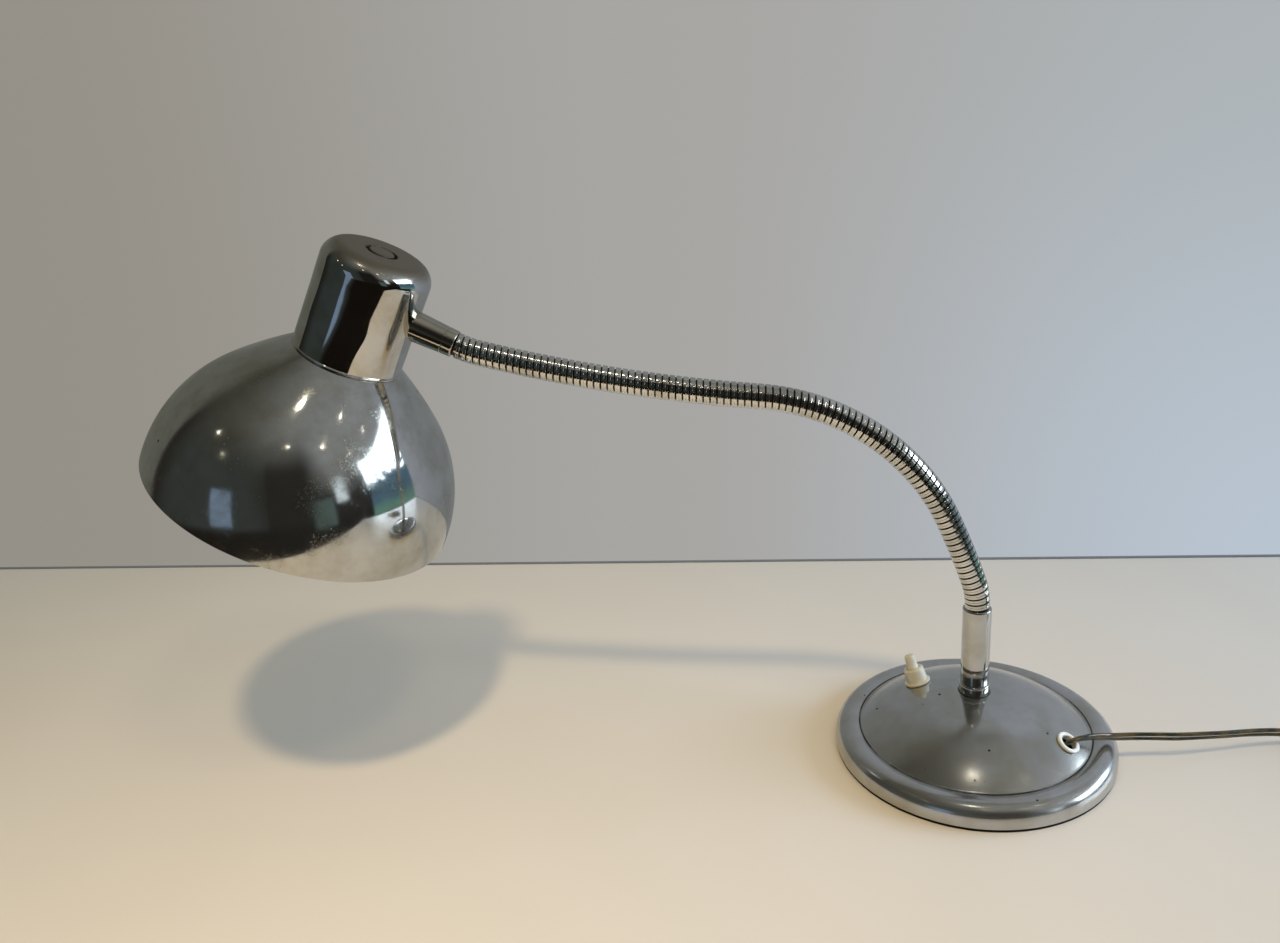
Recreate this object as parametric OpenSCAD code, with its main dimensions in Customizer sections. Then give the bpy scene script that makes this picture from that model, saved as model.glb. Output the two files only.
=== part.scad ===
// Gooseneck desk lamp: a weighted round base, a short stem, a flexible metal neck and a bowl shade.
// Millimetres. Z is up, the origin is the centre of the base's underside, and the arm reaches along -X.

/* [Base] */
// Overall diameter of the base
base_d = 160; // [152:1:180]
// Height of the rolled rim's crest
rim_h = 14.6; // [13.6:0.1:18]
// Radius of the rim's outer rounding
rim_round = 9; // [6:0.5:10]
// Width of the rolled rim, from its outer edge to the groove
rim_w = 14.1; // [13:0.1:18]
// Depth of the groove below the rim's crest
groove_drop = 1.2; // [0.8:0.1:1.6]
// Radius of the dome's sphere
dome_r = 102.5; // [98:0.5:125]
// Thickness of the base's spun steel shell
shell_t = 0.9; // [0.7:0.1:1.2]
// Gap between the shell and the cast weight under it
weight_gap = 0.6; // [0.3:0.1:1.5]
// Thickness of the black pad under the base
pad_t = 2; // [1:0.1:3]
// How far the pad's edge stays inside the base's edge
pad_inset = 0.4; // [0.3:0.1:3]
// Thickness of the steel bottom plate
plate_t = 1; // [0.8:0.1:2]
// Radius at which the bottom plate's screws sit
plate_screw_pcr = 56; // [50:1:60]
// Number of screws that hold the bottom plate
plate_screws_n = 3; // [3:1:6]
// Diameter of the bottom plate's screws
plate_screw_d = 4; // [3:0.5:5]
// Diameter of the heads of the bottom plate's screws
plate_screw_head_d = 6.4; // [5.6:0.1:8]
// Length of the bottom plate's screws
plate_screw_l = 9; // [7:1:11]
// Clearance of the weight's pockets around the switch and the grommet
pocket_gap = 1; // [0.5:0.1:1.5]
// Height of the floor of the weight's wire slots above the table
slot_floor = 12; // [11:0.1:12]

/* [Stem] */
// Outer diameter of the stem tube
stem_d = 16; // [15.4:0.1:18]
// Height of the stem tube's top edge above the table
stem_top = 92; // [85:1:120]
// Outer diameter of the ring at the stem's foot
collar_d = 17.2; // [16.8:0.1:22]
// Height of the ring at the stem's foot
collar_h = 6; // [4:0.5:9]
// Diameter of the hollow threaded rod that clamps the stem
rod_d = 10; // [9:0.5:10.5]
// Bore of the hollow threaded rod, which the wires run through
rod_bore = 6.8; // [5.5:0.1:7.2]
// Length of the rod's plug inside the stem tube
rod_plug_l = 12; // [8:1:20]
// Outer diameter of the washer under the weight
washer_d = 22; // [20:1:24]
// Thickness of the washer under the weight
washer_t = 1.6; // [1:0.1:2]
// Width across flats of the nut under the weight
nut_af = 17; // [15:1:18]
// Thickness of the nut under the weight
nut_t = 4.8; // [4:0.1:6]
// Gap between the nut and the bottom plate
nut_gap = 1; // [0.6:0.1:1.5]
// Height above the table at which the wires enter the hollow rod
wire_hole_z = 24; // [23.8:0.1:24.2]

/* [Neck] */
// Outer diameter of the neck's bands
neck_d = 14; // [13.2:0.1:15]
// Length of one turn of the neck's strip, along the neck
turn_pitch = 3.72; // [3.5:0.01:4.2]
// Width of the dark groove between two bands
groove_w = 1.2; // [1.1:0.05:1.4]
// Diameter of the neck's core, seen in the grooves
core_d = 12; // [11.6:0.1:12.2]
// Bore through the neck, which the wires run through
neck_bore = 9.6; // [8:0.1:10]
// Clearance of each turn's cup around the ball of the turn below it
cup_gap = 0.15; // [0.1:0.01:0.2]
// How far each joint's ball reaches into the next segment
ball_reach = 2; // [1.4:0.1:2.4]
// Extra radius of the neck's bore where two turns meet at an angle
kink_gap = 0.15; // [0.1:0.01:0.2]
// Chamfer on the edges of a band
band_chamfer = 0.3; // [0.1:0.05:0.5]
// Depth of the neck's end in the stem tube and in the ferrule
tail_l = 10; // [6:1:14]
// Clearance of the neck's ends in the stem tube and in the ferrule
tail_gap = 0.1; // [0.05:0.01:0.2]

/* [Rest curve of the neck] */
// Length of the first arc, from the stem on
arc_1_l = 16; // [12:1:24]
// How far the first arc leans the neck over, in degrees
arc_1_lean = 18.5; // [0:0.5:24]
// Length of the second arc
arc_2_l = 42; // [36:1:48]
// How far the second arc leans the neck over, in degrees
arc_2_lean = 5.5; // [0:0.5:20]
// Length of the third arc
arc_3_l = 132; // [124:1:140]
// How far the third arc leans the neck over, in degrees
arc_3_lean = 59; // [40:0.5:70]
// Length of the fourth arc
arc_4_l = 152; // [144:1:160]
// How far the fourth arc leans the neck over, in degrees
arc_4_lean = -9.5; // [-20:0.5:10]
// Length of the fifth arc, which runs on past the neck's end
arc_5_l = 20; // [16:1:24]
// How far the fifth arc leans the neck over, in degrees
arc_5_lean = -15.2; // [-20:0.1:0]

/* [Head] */
// Outer diameter of the cap
cap_d = 60.4; // [58:0.2:72]
// Height of the cap above the ferrule's axis
cap_above = 30.6; // [29:0.2:45]
// Height of the cap below the ferrule's axis
cap_below = 31.7; // [29:0.1:45]
// Rounding of the cap's top edge
cap_round = 10.5; // [6:0.5:14]
// Thickness of the cap's and the shade's spun sheet
sheet_t = 0.6; // [0.5:0.05:1]
// Length of the conical ferrule
ferrule_l = 23.5; // [18:0.5:34]
// Diameter of the ferrule at the cap
ferrule_d = 17; // [16:0.1:20]
// Diameter of the ferrule at the neck
ferrule_d_neck = 14.7; // [14.2:0.1:16]
// Diameter of the round screw head in the cap's top
cap_screw_d = 14.8; // [12:0.1:20]
// Thickness of the round screw head
cap_screw_t = 1.9; // [1.4:0.1:3]
// Depth of the well that the screw head lies in
well_depth = 1.6; // [1:0.1:2.5]
// Gap all around the screw head in its well
well_gap = 0.8; // [0.3:0.1:2]
// Diameter of the threads of the cap's screw and of the ferrule
thread_d = 10; // [9:0.5:10]
// Length of the cap screw's thread
cap_screw_l = 9; // [7:0.5:10]
// Width across flats of the ferrule's nut
ferrule_nut_af = 14; // [13:0.5:15]
// Thickness of the ferrule's nut
ferrule_nut_t = 4; // [3:0.5:4.5]
// Diameter of the holes which the wires run through into the holder
wires_d = 7; // [5:0.5:7]

/* [Shade] */
// Outer diameter of the shade at its rim
shade_d = 176; // [160:1:200]
// Depth of the shade, from the cap's lower edge to the rim
shade_depth = 90.7; // [86:0.1:110]
// Radius of the rolled bead on the shade's rim
bead_r = 1.1; // [0.8:0.1:1.6]

/* [Lampholder and bulb] */
// Outer diameter of the lampholder
holder_d = 40; // [39:0.2:42]
// Rounding of the top of the lampholder's dome
dome_round = 4; // [3:0.5:6]
// Wall of the lampholder's dome
dome_wall = 2.6; // [2.2:0.1:3.5]
// Height of the boss on the dome that the cap's screw pulls against
boss_h = 4; // [3:0.5:6]
// Diameter of the boss on the dome
boss_d = 16; // [14:0.5:20]
// Height of the holder's joint above the shade's seat
skirt_above = 37; // [35:0.5:40]
// Length of the lip by which dome and skirt overlap
lip_l = 6; // [4:0.5:8]
// Length of the holder's skirt below the shade's seat
skirt_below = 14; // [11:0.5:18]
// Depth of the thread on the outside of the skirt
skirt_thread = 0.4; // [0.2:0.05:0.6]
// Width of the flange that lies on the shade's seat
flange_w = 3; // [2:0.5:5]
// Thickness of the flange that lies on the shade's seat
flange_t = 2.5; // [2:0.1:4]
// Outer diameter of the ring that clamps the shade
ring_d = 50; // [46:1:56]
// Thickness of the ring that clamps the shade
ring_t = 6; // [4:0.5:8]
// Diameter of the bulb's screw cap
bulb_cap_d = 26.2; // [26:0.1:26.4]
// Diameter of the bulb's glass
bulb_d = 60; // [55:1:66]
// Length of the whole bulb
bulb_l = 105; // [101:1:107]
// Length of the bulb's screw cap
bulb_cap_l = 27; // [26:0.5:28]
// Diameter of the bulb's neck
bulb_neck_d = 27.2; // [26.8:0.1:27.6]
// Length of the bulb's neck below its screw cap
bulb_neck_l = 6; // [4:0.5:8]
// Thickness of the bulb's glass
glass_t = 0.8; // [0.6:0.1:1]
// Distance from the ferrule's axis down to the bulb's centre contact
contact_drop = 14; // [12:0.5:16]
// Height of the porcelain insert above the bulb's centre contact
tongue_drop = 3; // [2:0.1:4]
// Diameter of the porcelain insert
insert_d = 33.2; // [31:0.2:34]
// Thickness of the porcelain insert
insert_t = 7; // [5:0.5:9]
// Thickness of the brass of the holder's threaded sleeve
sleeve_t = 0.7; // [0.5:0.05:0.9]
// Length of the holder's threaded sleeve
sleeve_l = 25; // [20:0.5:27]
// Width of the brass tongue that meets the centre contact
tongue_w = 6; // [4:0.5:8]
// Length of the brass tongue
tongue_l = 14; // [10:0.5:18]

/* [Switch] */
// Distance of the switch from the stem's axis
switch_r = 35; // [33:0.5:42]
// Direction of the switch from the stem, in degrees
switch_az = 147.5; // [120:0.5:180]
// Height of the switch collar above the dome
switch_collar_h = 9.8; // [8:0.1:12]
// Diameter of the switch collar
switch_collar_d = 12.2; // [11.8:0.1:14]
// Diameter of the flange at the collar's foot
switch_flange_d = 15.4; // [14.4:0.1:18]
// Height of the push button's top above the dome
plunger_top = 17.9; // [15:0.1:20]
// Diameter of the push button's shaft
plunger_d = 7; // [6:0.1:7.2]
// Width and thickness of the flange that keeps the push button in
plunger_flange = 2; // [1.5:0.1:3]
// Diameter of the switch's neck through the dome
switch_neck_d = 10; // [9.2:0.1:10.4]
// Diameter of the switch's body under the dome
switch_body_d = 25; // [22:0.5:26]
// Length of the switch's body under the dome
switch_body_l = 17; // [15:0.5:18]
// Wall of the switch's body
switch_wall = 2; // [1.5:0.1:2.5]
// Thickness of the switch collar's top
switch_roof_t = 1.2; // [0.8:0.1:1.6]
// Thickness of the flange at the collar's foot
switch_flange_t = 1.5; // [1:0.1:2.5]
// Length of the switch's solder tags
terminal_l = 3.5; // [2.5:0.1:4]

/* [Cord] */
// Distance of the cord's grommet from the groove inside the base's rim
grommet_inset = 10.9; // [9.9:0.1:13.9]
// Direction of the cord's grommet from the stem, in degrees
grommet_az = -33.7; // [-60:0.1:-20]
// Outer diameter of the grommet
grommet_d = 13.4; // [12.8:0.1:15]
// Hole through the grommet
grommet_hole = 8.6; // [8.2:0.1:9]
// Thickness of the grommet's lip on the dome
grommet_lip_t = 1.6; // [1.2:0.1:2]
// Thickness of the grommet's lip under the dome
grommet_under_t = 1.2; // [0.8:0.1:1.6]
// How far the grommet's lips reach over the edge of their hole
grommet_lip_w = 1.2; // [0.8:0.1:1.4]
// Width of the clamp that takes the cord's pull
clamp_w = 10.4; // [9:0.1:10.6]
// Height of the clamp that takes the cord's pull
clamp_h = 4.6; // [4.4:0.1:5]
// Width of the flat twin cord
cord_w = 5; // [4.8:0.1:5.2]
// Thickness of the flat twin cord
cord_t = 2.6; // [2.4:0.1:2.8]
// Diameter of the plug's pins
pin_d = 4; // [3.9:0.05:4.1]
// Length of the plug's pins
pin_l = 19; // [18:0.5:20]
// Distance between the plug's pins
pin_pitch = 18.6; // [18:0.1:19.2]
// Thickness of the plug's body
plug_t = 13.7; // [12:0.1:15]
// Length of the plug's body
plug_l = 36; // [32:1:40]
// Width of the plug's body at the cord
plug_w = 26; // [24:0.5:28]
// Width of the plug's body at the pins
plug_face_w = 35; // [33:0.5:37]
// Length of the plug's strain relief
relief_l = 24; // [20:1:30]
// Width of the strap that ties the coil
tie_w = 9; // [6:0.5:12]
// Thickness of the strap that ties the coil
tie_t = 0.6; // [0.4:0.05:0.7]

/* [Hidden] */
$fn = 96;
chrome = "#c9ccd1";
steel = "#8f9399";
iron = "#4a4b4d";
black = "#1c1c1e";
ivory = "#e6dfc8";
bakelite = "#2b2320";
brass = "#c9a24a";
white = "#f4f3ee";
copper_green = "#8a8c6a";

turns = 96;             // turns of the neck's strip that show
turns_per_segment = 4;
segments = turns / turns_per_segment;
eps = 0.01;             // overlap that makes two shapes of one solid meet
air = 0.3;              // gap between loose neighbours
fit = 0.1;              // radial clearance of a screwed or pressed round fit

// the base's sections
base_r = base_d / 2;
groove_r = base_r - rim_w;
groove_z = rim_h - groove_drop;
crest_r = base_r - rim_round;
crest_in_r = ((crest_r - groove_r) ^ 2 + groove_drop ^ 2) / (2 * groove_drop);
dome_cz = groove_z - sqrt(dome_r ^ 2 - groove_r ^ 2);
function dome_z(r, inset = 0) = dome_cz + sqrt((dome_r - inset) ^ 2 - r ^ 2);
function dome_slope(r) = asin(r / dome_r);
collar_r = collar_d / 2;
land_z = dome_z(collar_r);
plate_top = pad_t + plate_t;
plate_r = base_r - shell_t - air;
weight_inset = shell_t + weight_gap;

// the stem's sections
rod_r = rod_d / 2;
stem_r = stem_d / 2;
core_r = core_d / 2;
tube_bore_r = core_r + tail_gap;
tube_foot = land_z + collar_h;
nut_bottom = plate_top + nut_gap;
washer_bottom = nut_bottom + nut_t;
counterbore_r = washer_d / 2 + pocket_gap;

// the neck's rest curve: turn i runs from neck_points[i] to neck_points[i + 1]
neck_arcs = [
    [arc_1_l, arc_1_lean], [arc_2_l, arc_2_lean], [arc_3_l, arc_3_lean], [arc_4_l, arc_4_lean],
    [arc_5_l, arc_5_lean]
];
function curve_turned(s, i = 0) =
    i >= len(neck_arcs) || s <= 0 ? 0 :
    min(s, neck_arcs[i][0]) * neck_arcs[i][1] / neck_arcs[i][0] + curve_turned(s - neck_arcs[i][0], i + 1);
function turn_lean(i) = curve_turned((i + 0.5) * turn_pitch);
function lean_step(lean) = turn_pitch * [-sin(lean), 0, cos(lean)];
neck_points = [
    for (i = 0, p = [0, 0, stem_top + groove_w / 2]; i <= turns; p = p + lean_step(turn_lean(i)), i = i + 1) p
];
band_r = neck_d / 2;
band_w = turn_pitch - groove_w;
bore_r = neck_bore / 2;
kink_bore_r = bore_r + kink_gap;
cup_r = core_r + cup_gap;

// the head's sections, in the head's frame: Z is the shade's axis, the ferrule lies along +X
head_tilt = 90 - curve_turned(turns * turn_pitch);
cap_r = cap_d / 2;
head_at = neck_points[turns]
    + (cap_r + ferrule_l + groove_w / 2) * [-cos(head_tilt), 0, sin(head_tilt)];
ferrule_x = cap_r + ferrule_l;
nut_seat_x = sqrt((cap_r - sheet_t) ^ 2 - (ferrule_nut_af / 2) ^ 2) - fit;
well_r = cap_screw_d / 2 + well_gap;
well_floor = cap_above - well_depth;
shank_r = thread_d / 2;
wires_r = wires_d / 2;
seat_z = -cap_below;
shade_r = shade_d / 2;
holder_r = holder_d / 2;
skirt_thread_r = holder_r - skirt_thread;
lip_r = holder_r - dome_wall / 2;
joint_z = seat_z + skirt_above;
holder_top = well_floor - sheet_t;
contact_z = -contact_drop;
insert_r = insert_d / 2;
insert_z = contact_z + tongue_drop;
sleeve_r = bulb_cap_d / 2 + air;
bulb_neck_r = bulb_neck_d / 2;
bulb_cap_z = contact_z - bulb_cap_l;
bulb_neck_z = bulb_cap_z - bulb_neck_l;
bulb_cz = contact_z - bulb_l + bulb_d / 2;

// the switch and the grommet
switch_neck_r = switch_neck_d / 2;
plunger_r = plunger_d / 2;
switch_seat = shell_t + dome_r - sqrt(dome_r ^ 2 - (switch_body_d / 2) ^ 2) + air;
plunger_foot = -(switch_seat + switch_wall + fit);
grommet_r = groove_r - grommet_inset;
grommet_r_out = grommet_d / 2;
grommet_waist_r = grommet_r_out - grommet_lip_w;

// the cord
// The points below are chosen for a grommet at this radius and height, and follow it elsewhere
route_grommet_r = 55;
route_grommet_z = 21.386;
lift_fades_over = 120;
grommet_shift = grommet_r - route_grommet_r;
cord_shift = grommet_shift * [cos(grommet_az), sin(grommet_az), 0];
cord_lift = dome_z(grommet_r) - route_grommet_z;
clamp_from = 34;        // the cord's clamp, from the stem's axis
// Inside the base, as distance from the stem's axis and height: from the grommet to the hollow rod
inner_route = [
    [49, 13.9], [46, 13.9], [42, 14.2], [38, 14.2], [34, 14.2], [28, 16], [22, 18.6], [16, 21.4], [11, 23.4],
    [6, wire_hole_z], [1, wire_hole_z]
];
// From inside the grommet over the rim and down to the table, where it meets the coil
cord_route = [
    [43.4, -30.6, 17.4], [44.6, -30.7, 20.2], [46.6, -30.9, 22.5], [50.2, -29.8, 23.2],
    [54.1, -28.3, 23.1], [58.1, -26.3, 22.5], [62.3, -24.2, 21.3], [66.6, -22.2, 19.9],
    [71.2, -20.3, 18.5], [76.2, -18.9, 17.5], [82, -17.9, 16.9], [88, -17.3, 16.6], [99, -16.9, 16.2],
    [110, -16.2, 15.5], [123, -14.1, 14.6], [136.5, -11.4, 13.4], [153, -7.7, 12], [170, -4.9, 10.2],
    [188, -4, 7.7], [204, -4, 5.6], [220, -4, 4], [236, -4, 3.3]
];
cord_points = [
    for (p = cord_route)
        p + cord_shift + [0, 0, cord_lift * max(0, 1 - (p[0] - cord_route[0][0]) / lift_fades_over)]
];
coil_at = [236, -41.5, 0] + cord_shift;
coil_mid_r = 30;
coil_rings = 4;
coil_layers = 2;
coil_lift = 0.8;        // the tie's strap passes under the coil
coil_in_r = coil_mid_r - coil_rings * cord_w / 2;
coil_out_r = coil_mid_r + coil_rings * cord_w / 2;
coil_h = coil_layers * cord_w;
tie_az = 215;
// From the coil's top to the plug
tail_route = [
    [236, -4, 8.3], [244, -4.2, 7.9], [252, -5, 7.2], [260, -6.8, 6.3], [268, -10.2, 5.5], [275, -15.6, 5.1],
    [280, -22.5, 5.2], [283, -30.5, 5.7], [284.4, -39, 6.3], [285, -48, 6.85]
];
tail_points = [for (p = tail_route) p + cord_shift];
plug_at = [285, -48, plug_t / 2] + cord_shift;
pin_root = 9;           // length of each pin inside the plug
pin_root_r = pin_d / 2 - 0.4;

base_nodes = [
    "felt_pad", "bottom_plate", "plate_screws", "base_weight", "base_shell", "stem_collar", "stem_tube",
    "stem_rod", "stem_washer", "stem_nut", "switch_body", "switch_collar", "switch_terminals",
    "switch_plunger", "cord_grommet", "inner_flex", "flex_clamp"
];
head_nodes = [
    "head_ferrule", "ferrule_nut", "lamp_cap", "cap_screw", "holder_dome", "holder_skirt", "holder_insert",
    "holder_contacts", "shade_ring", "shade", "bulb_glass", "bulb_cap"
];
cord_nodes = ["mains_cord", "cord_coil", "cord_tail", "cord_tie", "plug_body", "plug_pins"];
function segment_name(k) = str("neck_segment_", k < 10 ? "0" : "", k);

// ---- shared shapes ----

// ring of outer radius r and inner radius bore, from z = 0 up to h, with its outer edges rounded
module rounded_ring(r, bore, h, top_round, foot_round = 0) {
    rotate_extrude() difference() {
        union() {
            translate([bore, foot_round]) square([r - bore, h - top_round - foot_round]);
            translate([bore, 0]) square([r - bore - max(top_round, foot_round), h]);
            translate([r - top_round, h - top_round]) circle(top_round);
            if (foot_round > 0) translate([r - foot_round, foot_round]) circle(foot_round);
        }
        translate([bore - r, -eps]) square([r, h + 1]);
        translate([0, -h]) square([r, h]);
    }
}

// turns a shape on the dome upright: Z leaves the dome square to its surface
module on_dome(r, az) {
    rotate([0, 0, az]) translate([r, 0, dome_z(r)]) rotate([0, dome_slope(r), 0]) children();
}

// outline of the base under its outer skin, moved inward by inset
module base_outline(inset) {
    intersection() {
        union() {
            square([base_r - inset, rim_h - rim_round]);
            square([crest_r, rim_h - rim_round]);
            translate([crest_r, rim_h - rim_round]) circle(rim_round - inset);
            intersection() {
                translate([crest_r, rim_h - crest_in_r]) circle(crest_in_r - inset);
                square([crest_r, rim_h]);
            }
            translate([0, dome_cz]) circle(dome_r - inset);
        }
        square([base_r, land_z - inset]);
    }
}

// half outline of a ball with a cone that runs smoothly from it up to a ring of radius ring_r at y = 0
// the ball's centre lies depth below the ring, and the outline is moved inward by inset
module ball_and_cone(r, ring_r, depth, inset) {
    lean = atan2(ring_r, depth) + acos(r / sqrt(ring_r ^ 2 + depth ^ 2));
    meet = [(r - inset) * sin(lean), (r - inset) * cos(lean) - depth];
    top = [meet[0] + meet[1] / tan(lean), 0];
    intersection() {
        union() {
            translate([0, -depth]) circle(r - inset);
            polygon([[0, -depth], meet, top, [0, 0]]);
        }
        translate([0, -depth - r]) square([r + ring_r, depth + r]);
    }
}

// flat twin cord swept along a list of points, with its width level
function cord_side(p, q) = let (d = q - p) [d[1], -d[0], 0] / norm([d[0], d[1]]);
function cord_ring(p, side, up) = [
    for (a = [0:45:315]) p + side * cord_w / 2 * cos(a + 22.5) / cos(22.5)
        + up * cord_t / 2 * sin(a + 22.5) / cos(22.5)
];
module swept(route) {
    last = len(route) - 1;
    rings = [
        for (i = [0:last])
            let (a = route[max(i - 1, 0)], b = route[min(i + 1, last)], side = cord_side(a, b))
            cord_ring(route[i], side, cross(side, (b - a) / norm(b - a)))
    ];
    sides = [
        for (i = [0:last - 1], j = [0:7])
            [i * 8 + j, i * 8 + (j + 1) % 8, (i + 1) * 8 + (j + 1) % 8, (i + 1) * 8 + j]
    ];
    ends = [[for (j = [7:-1:0]) j], [for (j = [0:7]) last * 8 + j]];
    polyhedron([for (ring = rings) each ring], concat(sides, ends));
}

// ---- base ----

module felt_pad() {
    color(black) cylinder(r = base_r - pad_inset, h = pad_t);
}

module plate_screw_places() {
    for (i = [0:plate_screws_n - 1])
        rotate([0, 0, 30 + i * 360 / plate_screws_n]) translate([plate_screw_pcr, 0, pad_t]) children();
}

// countersunk head as deep as the plate is thick, made wider by grow
module plate_screw_head(grow) {
    cylinder(r1 = plate_screw_head_d / 2 + grow, r2 = plate_screw_d / 2 + grow, h = plate_t);
}

module bottom_plate() {
    color(steel) difference() {
        translate([0, 0, pad_t]) cylinder(r = plate_r, h = plate_t);
        plate_screw_places() plate_screw_head(fit);
    }
}

module plate_screws() {
    color(steel) plate_screw_places() {
        plate_screw_head(0);
        cylinder(r = plate_screw_d / 2, h = plate_screw_l);
    }
}

module base_weight() {
    slot_w = clamp_w + 2 * air;
    switch_pocket_l = switch_seat + switch_body_l + terminal_l + air;
    grommet_pocket_l = 8;
    color(iron) difference() {
        rotate_extrude() union() {
            intersection() {
                base_outline(weight_inset);
                translate([0, plate_top]) square([base_r, land_z]);
            }
            translate([0, plate_top]) square([collar_r - air, land_z - shell_t - plate_top]);
        }
        cylinder(r = rod_r + pocket_gap, h = land_z);
        cylinder(r = counterbore_r, h = washer_bottom + washer_t);
        on_dome(switch_r, switch_az) translate([0, 0, -switch_pocket_l])
            cylinder(r = switch_body_d / 2 + pocket_gap, h = switch_pocket_l + land_z);
        on_dome(grommet_r, grommet_az) translate([0, 0, -grommet_pocket_l])
            cylinder(r = grommet_r_out + pocket_gap, h = grommet_pocket_l + land_z);
        rotate([0, 0, grommet_az]) translate([0, -slot_w / 2, slot_floor]) cube([grommet_r, slot_w, land_z]);
        rotate([0, 0, switch_az]) translate([0, -slot_w / 2, slot_floor]) cube([switch_r, slot_w, land_z]);
        plate_screw_places() cylinder(r = plate_screw_d / 2 + fit, h = plate_screw_l + pocket_gap);
    }
}

module base_shell() {
    color(chrome) difference() {
        rotate_extrude() difference() {
            intersection() {
                base_outline(0);
                translate([0, pad_t]) square([base_r, land_z]);
            }
            base_outline(shell_t);
        }
        cylinder(r = rod_r + air, h = land_z + 1);
        on_dome(switch_r, switch_az) cylinder(r = switch_neck_r + fit, h = 8 * shell_t, center = true);
        on_dome(grommet_r, grommet_az) cylinder(r = grommet_waist_r + fit, h = 8 * shell_t, center = true);
    }
}

// ---- stem ----

module stem_collar() {
    color(chrome) translate([0, 0, land_z]) rounded_ring(collar_r, rod_r + fit, collar_h, 1.4, 0.5);
}

module stem_tube() {
    color(chrome) translate([0, 0, tube_foot])
        rounded_ring(stem_r, tube_bore_r, stem_top - tube_foot, 0.9, 0.9);
}

module stem_rod() {
    color(steel) difference() {
        union() {
            translate([0, 0, nut_bottom - 0.5]) cylinder(r = rod_r, h = tube_foot - nut_bottom + 1);
            translate([0, 0, tube_foot]) cylinder(r = core_r, h = rod_plug_l);
        }
        cylinder(r = rod_bore / 2, h = stem_top);
        translate([0, 0, wire_hole_z]) rotate([0, 90, grommet_az]) cylinder(r = cord_w / 2 + 0.5, h = rod_d);
    }
}

module stem_washer() {
    color(steel) translate([0, 0, washer_bottom]) difference() {
        cylinder(r = washer_d / 2, h = washer_t);
        translate([0, 0, -eps]) cylinder(r = rod_r + fit, h = washer_t + 1);
    }
}

module stem_nut() {
    color(steel) translate([0, 0, nut_bottom]) difference() {
        cylinder(r = nut_af / sqrt(3), h = nut_t, $fn = 6);
        translate([0, 0, -eps]) cylinder(r = rod_r + fit, h = nut_t + 1, $fn = 96);
    }
}

// ---- switch ----

module switch_body() {
    neck_l = switch_seat + switch_collar_h - switch_roof_t - air;
    color(black) on_dome(switch_r, switch_az) translate([0, 0, -switch_seat]) difference() {
        union() {
            translate([0, 0, -switch_body_l]) cylinder(r = switch_body_d / 2, h = switch_body_l);
            translate([0, 0, -eps]) cylinder(r = switch_neck_r, h = neck_l + eps);
        }
        translate([0, 0, switch_wall - switch_body_l])
            cylinder(r = switch_body_d / 2 - switch_wall, h = switch_body_l - 2 * switch_wall);
        translate([0, 0, -2 * switch_wall]) cylinder(r = plunger_r + 0.2, h = 2 * switch_wall + neck_l + eps);
    }
}

module switch_collar() {
    color(ivory) on_dome(switch_r, switch_az) difference() {
        union() {
            rounded_ring(switch_flange_d / 2, plunger_r, switch_flange_t, 0.7);
            rounded_ring(switch_collar_d / 2, plunger_r, switch_collar_h, 1.3);
        }
        translate([0, 0, -1]) cylinder(r = switch_neck_r + fit, h = switch_collar_h - switch_roof_t + 1);
        cylinder(r = plunger_r + 0.15, h = switch_collar_h + 1);
    }
}

module switch_plunger() {
    tip_r = plunger_r - 0.55;
    tip_h = 0.8;
    shoulder = switch_collar_h + 0.2;
    color(ivory) on_dome(switch_r, switch_az) {
        translate([0, 0, plunger_foot - plunger_flange])
            cylinder(r = plunger_r + plunger_flange, h = plunger_flange);
        translate([0, 0, plunger_foot - eps]) cylinder(r = plunger_r, h = shoulder - plunger_foot + eps);
        translate([0, 0, shoulder - eps])
            cylinder(r1 = plunger_r, r2 = tip_r, h = plunger_top - shoulder - tip_h + eps);
        translate([0, 0, plunger_top - tip_h]) rounded_ring(tip_r, 0, tip_h, 0.7);
    }
}

module switch_terminals() {
    tag_w = 4;
    tag_t = 0.8;
    foot = switch_seat + switch_body_l + terminal_l;
    color(brass) on_dome(switch_r, switch_az) for (side = [-1, 1])
        translate([-tag_w / 2, side * switch_body_d / 5 - tag_t / 2, -foot]) cube([tag_w, tag_t, terminal_l]);
}

// ---- cord entry ----

module cord_grommet() {
    hole_r = grommet_hole / 2;
    under_z = -shell_t - air;
    color(white) on_dome(grommet_r, grommet_az) {
        rounded_ring(grommet_r_out, hole_r, grommet_lip_t, grommet_lip_t / 2);
        translate([0, 0, under_z - eps]) difference() {
            cylinder(r = grommet_waist_r, h = 2 * eps - under_z);
            translate([0, 0, -eps]) cylinder(r = hole_r, h = 1 - under_z);
        }
        translate([0, 0, under_z - grommet_under_t])
            rounded_ring(grommet_r_out, hole_r, grommet_under_t, 0.4);
    }
}

// the cord's inner end: from the grommet along the weight's slot and through the hollow rod's side
module inner_flex() {
    start = cord_points[0];
    step = cord_points[1] - start;
    bend = [
        for (p = inner_route)
            let (r = p[0] + grommet_shift * min(1, max(0, (p[0] - rod_r) / (clamp_from - rod_r))))
            [r * cos(grommet_az), r * sin(grommet_az), p[1]]
    ];
    color(copper_green) swept(concat([start, start - step], bend));
}

module flex_clamp() {
    length = 8;
    gap = [length + 2, cord_w + 2 * air, cord_t + 2 * air];
    at = [clamp_from + grommet_shift, 0, slot_floor];
    color(steel) rotate([0, 0, grommet_az]) translate(at) difference() {
        translate([0, -clamp_w / 2, 0]) cube([length, clamp_w, clamp_h]);
        translate([-1, -gap[1] / 2, inner_route[2][1] - slot_floor - gap[2] / 2]) cube(gap);
    }
}

// ---- neck ----

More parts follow.
